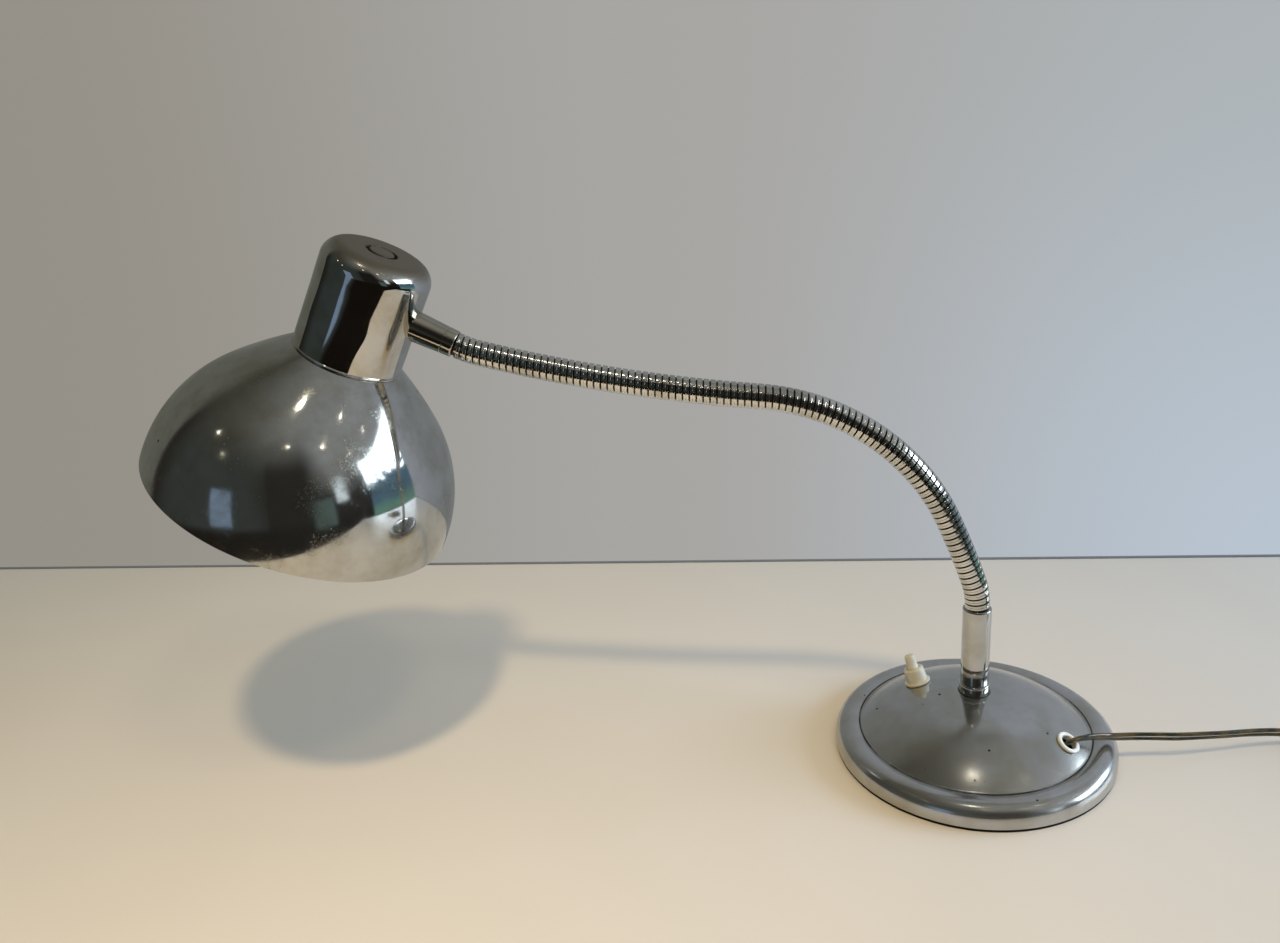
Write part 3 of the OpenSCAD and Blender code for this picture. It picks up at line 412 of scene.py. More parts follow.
def woven_strap():
    """Woven nylon tie strap: black, dull, with a plain weave of threads 0.5 mm apart."""
    material, tree, nylon = new_finish("woven_nylon", "#191a1c", 0.75, Sheen_Weight=0.2)
    place = node(tree, "TexCoord", out="Object")
    threads = {"Vector": place, "Scale": 1 / (0.5 * MM) / 3.2, "Distortion": 0.4}
    warp, weft = (node(tree, "TexWave", threads, out="Fac", bands_direction=way) for way in "XZ")
    weave = node(tree, "Math", {0: warp, 1: weft}, operation="MULTIPLY")
    bump = node(tree, "Bump", {"Height": weave, "Distance": 0.1 * MM})
    tree.links.new(bump, nylon.inputs["Normal"])
    # painted shade: the hollows between the threads darker, their crossings lighter
    shades = lay_over(tree, "#0c0c0e", "#2b2c2f", [(weave, 0, 1)], "LINEAR")
    tree.links.new(shades, nylon.inputs["Base Color"])
    return material


def sleeved_pins():
    """The plug's pins: nickel-plated brass tips, and black sleeves over the half by the plug."""
    material, tree, pins = new_finish("sleeved_nickel", "#cfc9ba", 0.22)
    place = node(tree, "TexCoord", out="Object")
    along = node(tree, "SeparateXYZ", {0: place}, out="Y")
    # the sleeves end 10 mm from the plug's face, at y = -118 mm
    tip = node(tree, "Math", {0: along, 1: -118 * MM}, operation="LESS_THAN")
    shades = lay_over(tree, "#1b1b1c", "#cfc9ba", [(tip, 0, 1)], "LINEAR")
    tree.links.new(shades, pins.inputs["Base Color"])
    tree.links.new(tip, pins.inputs["Metallic"])
    scuffs = node(tree, "TexNoise", {"Vector": place, "Scale": 900.0, "Detail": 3.0})
    spread = node(tree, "MapRange", {"Value": scuffs, "To Min": 0.2, "To Max": 0.45})
    tree.links.new(spread, pins.inputs["Roughness"])
    return material


wool_felt = felt()
clear_vinyl = vinyl_sheath()
tarnished_copper = green_copper()
bulb_frost = frosted_glass()
woven_nylon = woven_strap()
nickel_pins = sleeved_pins()

# ---- base ----

BASE_R = 80
GROOVE_R = 65.9
GROOVE_Z = 13.4
DOME_R = 102.5
DOME_CZ = -65.108
LAND_R = 8.6
LAND_Z = 37.031
CREST_R = 71
CREST_Z = 14.6
INNER_ROUND = 11.44
OUTER_ROUND = 9
PAD_T = 2
SHELL_T = 0.9
ROD_HOLE_R = 5.3
SWITCH_HOLE_R = 5.1
GROMMET_HOLE_R = 5.6


def dome_height(r):
    """The dome's height at a distance r from the axis."""
    return DOME_CZ + sqrt(DOME_R**2 - r**2)


def on_dome(r, azimuth):
    """A frame on the dome whose Z leaves it square to its surface."""
    return (
        Matrix.Rotation(radians(azimuth), 4, "Z")
        @ Matrix.Translation((r, 0, dome_height(r)))
        @ Matrix.Rotation(asin(r / DOME_R), 4, "Y")
    )


ON_SWITCH = on_dome(35, 147.5)
ON_GROMMET = on_dome(55, -33.7)


def base_skin(inset):
    """The shell's outline from the stem's land out to the foot, moved inward by inset."""
    land_angle = 90 - degrees(asin(LAND_R / DOME_R))
    groove_angle = 90 - degrees(asin((GROOVE_R - 0.35) / DOME_R))
    dome = arc((0, DOME_CZ), DOME_R - inset, land_angle, groove_angle, 48)
    # the groove's corner is rolled over a wheel, and not sharp
    groove = [(GROOVE_R + 0.05 - 0.4 * inset, GROOVE_Z + 0.12 - inset * 1.1)]
    crest = arc((CREST_R, CREST_Z - INNER_ROUND), INNER_ROUND - inset, 114.5, 90, 10)
    rim = arc((CREST_R, CREST_Z - OUTER_ROUND), OUTER_ROUND - inset, 90, 0, 24)[1:]
    return dome + groove + crest + rim


def bore(piece_made, frame_at, radius):
    """Drills a round hole through a shell, along the Z of frame_at."""
    deep = 4
    drill_outline = [(0, -deep), (radius, -deep), (radius, deep), (0, deep)]
    points, faces, _ = turn_outline(drill_outline, 48, on_axis=True)
    cutter = bpy.data.meshes.new("drill")
    cutter.from_pydata([(frame_at @ Vector(p)) * MM for p in points], [], faces)
    face_outward(cutter)
    drill = bpy.data.objects.new("drill", cutter)
    scene.collection.objects.link(drill)
    hole = piece_made.modifiers.new("hole", "BOOLEAN")
    hole.operation = "DIFFERENCE"
    hole.solver = "EXACT"
    hole.object = drill
    bpy.context.view_layer.update()
    seen = piece_made.evaluated_get(bpy.context.evaluated_depsgraph_get())
    drilled = bpy.data.meshes.new_from_object(seen)
    piece_made.modifiers.clear()
    piece_made.data = drilled
    bpy.data.objects.remove(drill)


def spin_base():
    """The base's cover: dome, groove and rolled rim, open underneath."""
    outside = [(ROD_HOLE_R, LAND_Z), *base_skin(0), (BASE_R, PAD_T)]
    inside = [(BASE_R - SHELL_T, PAD_T), *reversed(base_skin(SHELL_T)), (ROD_HOLE_R, LAND_Z - SHELL_T)]
    # the rim's own finish starts at the groove
    on_rim = outside.index(next(p for p in outside if p[0] > GROOVE_R - 0.1))
    finishes = [0] * on_rim + [1] * (len(outside) - on_rim) + [0] * len(inside)
    shape = turn_outline(outside + inside, 192, finishes)
    shell = make_piece(
        "base_cover", shape, [worn_chromium, rim_chromium], stands_for=["base_shell"], sharp=30
    )
    bore(shell, ON_SWITCH, SWITCH_HOLE_R)
    bore(shell, ON_GROMMET, GROMMET_HOLE_R)


def cut_pad():
    """The pad under the base, a disc with slightly worn edges."""
    r = BASE_R - 0.4
    outline = [(0, 0), (r - 0.5, 0), (r - 0.1, 0.15), (r, 0.6), (r, 1.7), (r - 0.3, PAD_T), (0, PAD_T)]
    shape = turn_outline(outline, 160, on_axis=True)
    make_piece("felt_disc", shape, [wool_felt], stands_for=["felt_pad"])


def turn_stem():
    """The ring at the stem's foot and the tube that stands on it."""
    foot, low, top = LAND_Z, LAND_Z + 6, 92
    ring = [
        (5.1, foot), (8.1, foot),
        *arc((8.1, foot + 0.5), 0.5, -60, 0, 3),
        (8.6, foot + 3),
        *arc((7.4, foot + 4.8), 1.2, 0, 90, 8),
        (5.1, low),
    ]
    tube = [
        (6.1, low),
        *arc((7.1, low + 0.9), 0.9, -90, 0, 6),
        (8.0, low + 12), (8.0, low + 24), (8.0, low + 36),
        *arc((6.9, top - 1.1), 1.1, 0, 80, 8),
        (6.1, top),
    ]
    for name, outline, solid in (("stem_ring", ring, "stem_collar"), ("stem", tube, "stem_tube")):
        make_piece(name, turn_outline(outline, 96), [stem_chromium], stands_for=[solid])


spin_base()
cut_pad()
turn_stem()

# ---- switch and grommet ----


def mould_switch():
    """The push switch's collar with its flange, and the button that stands out of it."""
    collar = [
        (3.65, 7.5), (5.1, 7.5), (5.1, 0.05), (7.5, 0.0),
        *arc((7.0, 0.8), 0.7, 0, 80, 6),
        (6.6, 1.62),
        *arc((6.62, 1.95), 0.32, 270, 190, 4),
        (6.2, 4.0),
        *arc((4.65, 8.5), 1.3, 10, 90, 8),
        (4.0, 9.8), (3.65, 9.45),
    ]
    shape = turn_outline(collar, 64)
    at = ON_SWITCH
    make_piece("switch_ring", shape, [ivory_urea], stands_for=["switch_collar"], place=at)
    button = [
        (0, -3.3), (5.4, -3.3), (5.4, -1.4), (3.5, -1.4), (3.5, 9.9), (3.38, 10.2), (3.1, 14.5), (3.0, 16.6),
        *arc((2.05, 16.95), 0.92, 0, 80, 7),
        (1.0, 17.88), (0, 17.9),
    ]
    shape = turn_outline(button, 64, on_axis=True)
    make_piece(
        "push_button", shape, [ivory_urea], "button", stands_for=["switch_plunger"], place=at
    )


def press_grommet():
    """The cord's bushing: a round lip on the dome, and a waist and a second lip under it."""
    section = [
        (4.3, 0.5),
        *arc((5.05, 0.85), 0.75, 180, 90, 6),
        *arc((5.95, 0.85), 0.75, 90, 0, 6),
        (6.7, 0.1), (5.5, 0.0), (5.5, -1.2), (6.5, -1.3), (6.5, -2.2), (4.6, -2.4), (4.3, -2.0),
    ]
    shape = turn_outline(section, 64)
    at = ON_GROMMET
    make_piece("cord_bushing", shape, [white_nylon], stands_for=["cord_grommet"], place=at)


mould_switch()
press_grommet()

# ---- gooseneck ----

NECK_START = (0, 92.6)
PITCH = 3.72
TURNS = 96
NECK_LENGTH = TURNS * PITCH
SEGMENT_TURNS = 4
ARCS = ((16, 18.5), (42, 5.5), (132, 59), (152, -9.5), (20, -15.2))  # length, lean over it in degrees
FINE = 0.1
OVERRUN = 12  # of the centreline, past both ends of the neck


def lean_at(s):
    """How far the neck leans over at s mm from its start, in radians."""
    lean = 0
    for length, over in ARCS:
        lean += min(max(s, 0), length) * over / length
        s -= length
    return radians(lean)


def neck_line():
    """The neck's centreline as (x, z) every FINE mm, with OVERRUN mm more at both ends."""
    count = round((NECK_LENGTH + 2 * OVERRUN) / FINE)
    x, z = NECK_START[0], NECK_START[1] - OVERRUN
    line = []
    for i in range(count + 2):
        line.append((x, z))
        lean = lean_at(min((i + 0.5) * FINE - OVERRUN, NECK_LENGTH))
        x, z = x - sin(lean) * FINE, z + cos(lean) * FINE
    return line


LINE = neck_line()


def on_neck(s, radius, angle):
    """A point s mm along the neck, at a radius and an angle about its centreline."""
    place = (s + OVERRUN) / FINE
    i = min(int(place), len(LINE) - 2)
    part = place - i
    x = LINE[i][0] + (LINE[i + 1][0] - LINE[i][0]) * part
    z = LINE[i][1] + (LINE[i + 1][1] - LINE[i][1]) * part
    lean = lean_at(min(s, NECK_LENGTH))
    out = radius * cos(angle)
    return (x + out * cos(lean), radius * sin(angle), z + out * sin(lean))


def wind_strip(first, last):
    """The polished strip from turn first to turn last, a right-hand helix whose ends lie at the back.

    Gives its points as (length along the neck, radius, angle), and its faces.
    """
    steps_per_turn = 36
    section = [
        (-1.45, 6.5), (-1.43, 6.87), (-1.32, 6.98), (-0.12, 7.0), (0, 6.94), (0.12, 7.0), (1.32, 6.98),
        (1.43, 6.87), (1.45, 6.5),
    ]
    in_core, free, trim = 5.85, 6.15, 0.17
    start, end = max(first, trim), min(last, TURNS - trim)
    steps = round((end - start) * steps_per_turn)
    places = []
    for i in range(steps + 1):
        turn = start + (end - start) * i / steps
        angle = 2 * pi * (turn + 0.25)
        inner = [
            (a, in_core if first * PITCH <= turn * PITCH + a <= last * PITCH else free)
            for a in (section[-1][0], section[0][0])
        ]
        places += [(turn * PITCH + a, radius, angle) for a, radius in section + inner]
    return places, skin_rings(steps + 1, len(section) + 2)


def core_of(first, last):
    """A segment's inner strip, dark with oil and painted shade, with a ball at its top that fits the next
    segment.

    Gives its points as (length along the neck, radius, angle), and its faces.
    """
    sides, ring_gap, core_r = 32, 0.93, 5.98
    ball_r, reach = 6, 2.0
    low = first * PITCH + 3.0 if first else -10
    high = last * PITCH if last < TURNS else NECK_LENGTH + 10
    count = max(2, round((high - low) / ring_gap))
    rings = [(low + (high - low) * i / count, core_r) for i in range(count + 1)]
    if last < TURNS:
        rings += [(high + reach * i / 3, sqrt(ball_r**2 - (reach * i / 3) ** 2)) for i in (1, 2, 3)]
    places = [(s, radius, 2 * pi * k / sides) for s, radius in rings for k in range(sides)]
    return places, skin_rings(len(rings), sides)


def make_neck():
    """24 segments of four turns; each follows its own body, so the neck bends as one tube."""
    count = TURNS // SEGMENT_TURNS
    for k in range(1, count + 1):
        first, last = (k - 1) * SEGMENT_TURNS, k * SEGMENT_TURNS
        places, faces = wind_strip(first, last)
        core_places, core_faces = core_of(first, last)
        paint = [0] * len(faces) + [1] * len(core_faces)
        faces += [[v + len(places) for v in face] for face in core_faces]
        places += core_places
        shape = ([on_neck(*at) for at in places], faces, paint)
        body = "base" if k == 1 else "head" if k == count else f"neck_{k:02d}"
        segment = make_piece(
            f"gooseneck_{k:02d}", shape, [strip_chromium, bare_strip_in_shade], body,
            stands_for=[f"neck_segment_{k:02d}"], sharp=18,
        )
        # the finish follows the strip as it would lie on a straight neck
        straight = [(radius * cos(angle), radius * sin(angle), s) for s, radius, angle in places]
        segment.data.attributes["turned"].data.foreach_set("vector", [c * MM for p in straight for c in p])


make_neck()

# ---- head ----

HEAD_TILT = 90 - degrees(lean_at(NECK_LENGTH))
HEAD_AT = (-329.798, 0, 284.749)
ON_HEAD = Matrix.Translation(HEAD_AT) @ Matrix.Rotation(radians(HEAD_TILT), 4, "Y")
ALONG_FERRULE = ON_HEAD @ Matrix.Rotation(radians(90), 4, "Y")
SEAT_Z = -31.7
SHEET = 0.6
CAP_R = 30.2
SHADE_R = 88
SHADE_RIM_Z = -122.4


def spin_cap():
    """The cap over the holder: a straight drum with a big top rounding, and a well for its screw."""
    top, fillet = 30.6, 10.5
    outside = [
        (CAP_R - SHEET, SEAT_Z + 0.05),
        *arc((CAP_R + 0.1, SEAT_Z + 0.75), 0.7, -80, 80, 8),
        *[(CAP_R, SEAT_Z + 1.7 + 4.1 * i) for i in range(12)],
        *arc((CAP_R - fillet, top - fillet), fillet, 0, 90, 28),
        (14, top),
        (9.3, top),
        *arc((8.9, top - 0.6), 0.6, 80, 180, 6),
        (8.25, 29.15), (8.1, 29.0), (5.1, 29.0),
    ]
    inside = [
        (5.1, 28.4), (8.8, 28.4), (9.3, 29.9),
        *arc((CAP_R - fillet, top - fillet), fillet - SHEET, 90, 0, 16),
        (CAP_R - SHEET, 0),
    ]
    points, faces, paint = turn_outline(outside + inside, 160)
    drum = (dent(dent(points, 0.3, 22, 3.3), 0.07, 8, 5.1), faces, paint)
    foot, side, edge = (6.6, 29.0), (7.05, 29.3), arc((6.35, 30.1), 0.7, 0, 80, 6)
    disc = turn_outline([(0, 29.0), foot, side, *edge, (5.0, 30.85), (0, 30.9)], 96, on_axis=True)
    for name, shape, solid in (("cap", drum, "lamp_cap"), ("cap_disc", disc, "cap_screw")):
        make_piece(
            name, shape, [cap_chromium], "head", stands_for=[solid], place=ON_HEAD, sharp=30
        )


def turn_ferrule():
    """The conical ferrule between cap and neck, with a fine ring near the neck."""
    outline = [
        (5.0, 28.4), (8.55, 28.4), (8.5, 30.4), (7.75, 45.6),
        (7.68, 47.0), (7.45, 47.2), (7.45, 47.6), (7.68, 47.8), (7.5, 52.6),
        *arc((6.75, 52.8), 0.75, 10, 80, 5),
        (6.1, 53.6), (5.0, 53.6),
    ]
    make_piece(
        "neck_ferrule", turn_outline(outline, 96), [ferrule_chromium], "head",
        stands_for=["head_ferrule"], place=ALONG_FERRULE,
    )


def spin_shade():
    """The bowl: a short cone that runs into a ball, with a bead rolled on its rim."""
    # the cone is slightly bowed, and turns into the ball 45 degrees up
    bow_r, steep, meet_at = 260, 54.3, 45
    bow_centre = (CAP_R - bow_r * cos(radians(steep)), SEAT_Z - bow_r * sin(radians(steep)))
    bowed = arc(bow_centre, bow_r, steep, meet_at, 14)
    meet_r, meet_z = bowed[-1]
    ball_centre = (meet_r - SHADE_R * cos(radians(meet_at)), meet_z - SHADE_R * sin(radians(meet_at)))
    ball = arc(ball_centre, SHADE_R, meet_at, -0.7, 44)[1:]
    bead_r, bead_steps = 1.1, 14
    bead = arc((ball[-1][0] - bead_r, SHADE_RIM_Z + bead_r), bead_r, 0, -200, bead_steps)
    skin = [(CAP_R, SEAT_Z + 0.02), *bowed[1:], *ball]
    inner = []
    for i, (r, z) in enumerate(skin):
        before, after = skin[max(i - 1, 0)], skin[min(i + 1, len(skin) - 1)]
        along = Vector((after[0] - before[0], after[1] - before[1])).normalized()
        inner.append((r + along.y * SHEET, z - along.x * SHEET))
    inner = [p for p in inner if p[1] > SHADE_RIM_Z + 1.9]
    hole_r, lap_r = 19.8, 29.6
    outline = [(hole_r, SEAT_Z), *skin, *bead[1:], *reversed(inner[1:])]
    outline += [(lap_r, SEAT_Z - SHEET), (hole_r, SEAT_Z - SHEET)]
    # the buffed outside ends halfway round the bead
    buffed = len(skin) + bead_steps // 2
    finishes = [0] * buffed + [1] * (len(outline) - buffed)
    points, faces, paint = turn_outline(outline, 224, finishes)
    bowl = (dent(points, 0.12, 42, 8.1), faces, paint)
    make_piece(
        "bowl_shade", bowl, [shade_chromium, unbuffed_chromium], "head",
        stands_for=["shade"], place=ON_HEAD, sharp=30,
    )


spin_cap()
turn_ferrule()
spin_shade()

# ---- cord ----

FLEX_W = 5.0
CORD_ROUTE = [
    (43.4, -30.6, 17.4), (44.6, -30.7, 20.2), (46.6, -30.9, 22.5), (50.2, -29.8, 23.2), (54.1, -28.3, 23.1),
    (58.1, -26.3, 22.5), (62.3, -24.2, 21.3), (66.6, -22.2, 19.9), (71.2, -20.3, 18.5), (76.2, -18.9, 17.5),
    (82, -17.9, 16.9), (88, -17.3, 16.6), (99, -16.9, 16.2), (110, -16.2, 15.5), (123, -14.1, 14.6),
    (136.5, -11.4, 13.4), (153, -7.7, 12), (170, -4.9, 10.2), (188, -4, 7.7), (204, -4, 5.6), (220, -4, 4),
    (236, -4, 3.3),
]
TAIL_ROUTE = [
    (236, -4, 8.3), (244, -4.2, 7.9), (252, -5, 7.2), (260, -6.8, 6.3), (268, -10.2, 5.5), (275, -15.6, 5.1),
    (280, -22.5, 5.2), (283, -30.5, 5.7), (284.4, -39, 6.3), (285, -48, 6.85),
]
COIL_AT = (236, -41.5)
COIL_TURNS = 8
COIL_R = 37.5
COIL_Z = 3.3
# how far the flex's flat side is turned up from level, at x in mm along the free stretch
FLEX_TWIST = (
    (43, 40), (58, 60), (80, 88), (105, 100), (125, 84), (145, 78), (165, 96), (195, 104), (236, 90),
)


def coil_point(turn):
    """A point of the coil: inward turn by turn on the lower layer, and outward again on the upper one."""
    # in turns: where the steps inward and the climb to the upper layer start, and how long they are
    step_from, step_for = 0.72, 0.28
    climb_from, climb_for = 3.8, 0.4
    half = COIL_TURNS / 2
    layer = turn if turn < half else COIL_TURNS - turn
    whole = min(int(layer), half - 1)
    step = min(max((layer - whole - step_from) / step_for, 0), 1)
    step = step * step * (3 - 2 * step) if whole < half - 1 else 0
    radius = COIL_R - FLEX_W * (whole + step)
    climb = min(max((turn - climb_from) / climb_for, 0), 1)
    angle = pi / 2 - 2 * pi * turn
    return (
        COIL_AT[0] + radius * cos(angle),
        COIL_AT[1] + radius * sin(angle),
        COIL_Z + FLEX_W * climb * climb * (3 - 2 * climb),
    )


def smooth_line(route, per_span):
    """A smooth curve through a route's points."""
    spread = [route[0], *route, route[-1]]
    line = []
    for i in range(len(route) - 1):
        a, b, c, d = (Vector(spread[i + k]) for k in range(4))
        for k in range(per_span):
            t = k / per_span
            square, cube = 2 * a - 5 * b + 4 * c - d, 3 * b - a - 3 * c + d
            line.append(0.5 * (2 * b + (c - a) * t + square * t**2 + cube * t**3))
    return line


def twist_at(x):
    """The flex's turn about its own line, in degrees, on the free stretch."""
    for (x0, t0), (x1, t1) in zip(FLEX_TWIST, FLEX_TWIST[1:]):
        if x < x1:
            part = max(x - x0, 0) / (x1 - x0)
            return t0 + (t1 - t0) * part
    return FLEX_TWIST[-1][1]


def lay_flex():
    """The flex's centreline from inside the bushing to the plug, and its turn at each point."""
    free, steps_per_turn = smooth_line(CORD_ROUTE, 3), 40
    coil = [Vector(coil_point(i / steps_per_turn)) for i in range(COIL_TURNS * steps_per_turn)]
    tail = smooth_line(TAIL_ROUTE, 4) + [Vector(TAIL_ROUTE[-1])]
    # the last six points of the tail lie flat
    turning = len(tail) - 6
    turns = [twist_at(p.x) for p in free] + [90] * len(coil)
    turns += [90 - 90 * min(1, i / turning) for i in range(len(tail))]
    return free + coil + tail, turns


def sweep(line, turns, section):
    """A tube with the given section of (across, up) points, each ring turned about the line by its turn."""
    points = []
    for i, point in enumerate(line):
        along = (line[min(i + 1, len(line) - 1)] - line[max(i - 1, 0)]).normalized()
        side = Vector((along.y, -along.x, 0)).normalized()
        up = side.cross(along)
        turn = radians(turns[i])
        wide = side * cos(turn) + up * sin(turn)
        thin = up * cos(turn) - side * sin(turn)
        points += [tuple(point + wide * a + thin * b) for a, b in section]
    return points, skin_rings(len(line), len(section))


def run_flex():
    """Two stranded cores side by side in one clear sheath with a waist between them."""
    core_apart, sheath_r, core_r = 1.2, 1.3, 0.66
    line, turns = lay_flex()
    lobe = arc((core_apart, 0), sheath_r, -148, 148, 9)
    sheath = make_piece(
        "flex_sheath", sweep(line, turns, lobe + [(-a, -b) for a, b in lobe]), [clear_vinyl],
        stands_for=["mains_cord", "cord_coil", "cord_tail"], sharp=60,
    )
    points, faces = [], []
    for side in (-1, 1):
        more_points, more_faces = sweep(line, turns, arc((core_apart * side, 0), core_r, 0, 324, 9))
        faces += [[v + len(points) for v in face] for face in more_faces]
        points += more_points
    cores = make_piece("flex_cores", (points, faces), [tarnished_copper])
    length = sum((b - a).length for a, b in zip(line, line[1:])) * MM
    return sheath, cores, [p * MM for p in line], length


def tie_coil():
    """The strap round the coil's bundle: a flat loop with rounded corners."""
    inner, outer, high, thick, width = 19.9, 40.15, 11.0, 0.55, 9.0
    corner, lift = 1.6, 0.02
    path = [
        *arc((outer - corner, corner), corner, -90, 0, 5),
        *arc((outer - corner, high - corner), corner, 0, 90, 5),
        *arc((inner + corner, high - corner), corner, 90, 180, 5),
        *arc((inner + corner, corner), corner, 180, 270, 5),
    ]
    middle = ((inner + outer) / 2, high / 2)
    points, faces = [], []
    for y in (-width / 2, width / 2):
        for grow in (0, thick):
            for x, z in path:
                dx = copysign(grow, x - middle[0]) if grow else 0
                dz = copysign(grow, z - middle[1]) if grow else 0
                points.append((x + dx, y, max(z + dz, lift) + lift))
    size = len(path)
    for k in range(size):
        n = (k + 1) % size
        for near, far in ((0, 2), (1, 3), (0, 1), (2, 3)):
            faces.append([near * size + k, near * size + n, far * size + n, far * size + k])
    at = Matrix.Translation((*COIL_AT, 0)) @ Matrix.Rotation(radians(215), 4, "Z")
    shape = (points, faces)
    return make_piece(
        "tie_strap", shape, [woven_nylon], stands_for=["cord_tie"], place=at, sharp=50
    )


def mould_plug():
    """The flat two-pin plug with its ribbed strain relief, moulded in one with the flex."""
    # each section: how far along the plug, half its width, half its height, how square it is
    sections = []
    # the relief: rings with grooves between them, on a cone
    relief = 24.0
    for i in range(25):
        along = relief * i / 24
        groove = 0.5 if i % 4 in (2, 3) and i < 22 else 0
        radius = 3.2 + 1.8 * along / relief - groove
        sections.append((along, radius, radius, 2.0))
    # the body: from the relief's round end out to a flat box with rounded edges
    sections += [
        (24.2, 9.2, 6.2, 2.4), (25.2, 11.6, 6.7, 3.2), (27.0, 12.7, 6.85, 4.2), (32.0, 12.4, 6.4, 4.6),
        (38.0, 12.1, 6.1, 4.8), (43.0, 13.2, 6.35, 5.0), (48.0, 16.0, 6.8, 5.4), (52.0, 17.4, 6.85, 6.0),
        (58.6, 17.5, 6.85, 6.0), (59.7, 17.2, 6.6, 6.0), (60.0, 16.4, 6.0, 6.0),
    ]
    sides, thick = 48, 13.7
    points = []
    for along, wide, high, square in sections:
        for k in range(sides):
            c, s = cos(2 * pi * k / sides), sin(2 * pi * k / sides)
            across = copysign(abs(c) ** (2 / square), c) * wide
            up = copysign(abs(s) ** (2 / square), s) * high
            points.append((across, -along, up))
    shape = (points, skin_rings(len(sections), sides))
    at = Matrix.Translation((*TAIL_ROUTE[-1][:2], thick / 2))
    return make_piece(
        "flat_plug", shape, [plug_vinyl], stands_for=["plug_body"], place=at, sharp=50
    )


flex_sheath, flex_cores, flex_path, flex_length = run_flex()
tie = tie_coil()
plug = mould_plug()

# ---- the CAD pieces that stay ----

KEPT = (
    (zinc_steel, "bottom_plate", "plate_screws", "stem_rod", "stem_washer", "stem_nut"),
    (zinc_steel, "flex_clamp", "ferrule_nut"),
    (cast_iron, "base_weight"),
    (black_phenolic, "switch_body"),
    (holder_brass, "switch_terminals", "holder_contacts"),
    (tarnished_copper, "inner_flex"),
    (phenolic, "holder_dome", "holder_skirt", "shade_ring"),
    (glazed_porcelain, "holder_insert"),
    (bulb_frost, "bulb_glass"),
    (bulb_tin, "bulb_cap"),
    (nickel_pins, "plug_pins"),
)
for finish, *names in KEPT:
    for name in names:
        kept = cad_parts[name]
        kept.data.materials.clear()
        kept.data.materials.append(finish)

# ---- table, room and lamps ----


def stand_in(name, points, faces, material):
    """Puts up a plain surface or board that stands for part of the room; points in metres."""
    mesh = bpy.data.meshes.new(name)
    mesh.from_pydata(points, [], faces)
    mesh.materials.append(material)
    made = bpy.data.objects.new(name, mesh)
    scene.collection.objects.link(made)
    return made


def table_top():
    """A pale laminate table: a board with its far edge behind the lamp."""
    material, tree, laminate = new_finish("table_laminate", "#e6dfd6", 0.3)
    place = node(tree, "TexCoord", out="Object")
    clouds = node(tree, "TexNoise", {"Vector": place, "Scale": 6.0, "Detail": 2.0})
    tones = lay_over(tree, "#e3dbd1", "#e9e3db", [(clouds, 0, 1)], "LINEAR")
    tree.links.new(tones, laminate.inputs["Base Color"])
    # the joint between the table and the wall, full of shade
    joint = new_finish("joint_shade", "#83868c", 0.8)[0]
    front, left, right, under = -0.405, -1.6, 0.385, -0.03
    boards = (
        ("table", ((left, front), (right, front), (right, 0.24), (left, 0.31)), 0, material),
        ("wall_joint", ((left, 0.31), (right, 0.24), (right, 0.243), (left, 0.313)), 0.0008, joint),
    )
    faces = [(0, 1, 2, 3), (7, 6, 5, 4), (0, 4, 5, 1), (1, 5, 6, 2), (2, 6, 7, 3), (3, 7, 4, 0)]
    for name, corners, high, finish in boards:
        stand_in(name, [(x, y, z) for z in (high, under) for x, y in corners], faces, finish)


def hang_wall():
    """The wall behind the table as metal and glass mirror it: lit from the right, dim in its upper left."""
    material = bpy.data.materials.new("mirrored_wall")
    material.use_nodes = True
    tree = material.node_tree
    tree.nodes.clear()
    x, _, z = node(tree, "SeparateXYZ", {0: node(tree, "TexCoord", out="Object")}).node.outputs
    tone = lay_over(tree, "#6c6d64", "#a8adb5", [(x, -0.7, 0.4)], "LINEAR")
    tone = lay_over(tree, tone, "#4f4e45", [(z, 0.9, 2.0)])
    glow = node(tree, "Emission", {"Color": tone})
    node(tree, "OutputMaterial", {"Surface": glow})
    left, right, at, low, high = -3, 0.62, 0.32, -0.6, 2.1
    corners = [(left, at, low), (right, at, low), (right, at, high), (left, at, high)]
    wall = stand_in("mirrored_wall", corners, [(0, 1, 2, 3)], material)
    wall.visible_camera = False
    wall.visible_diffuse = False
    wall.visible_shadow = False


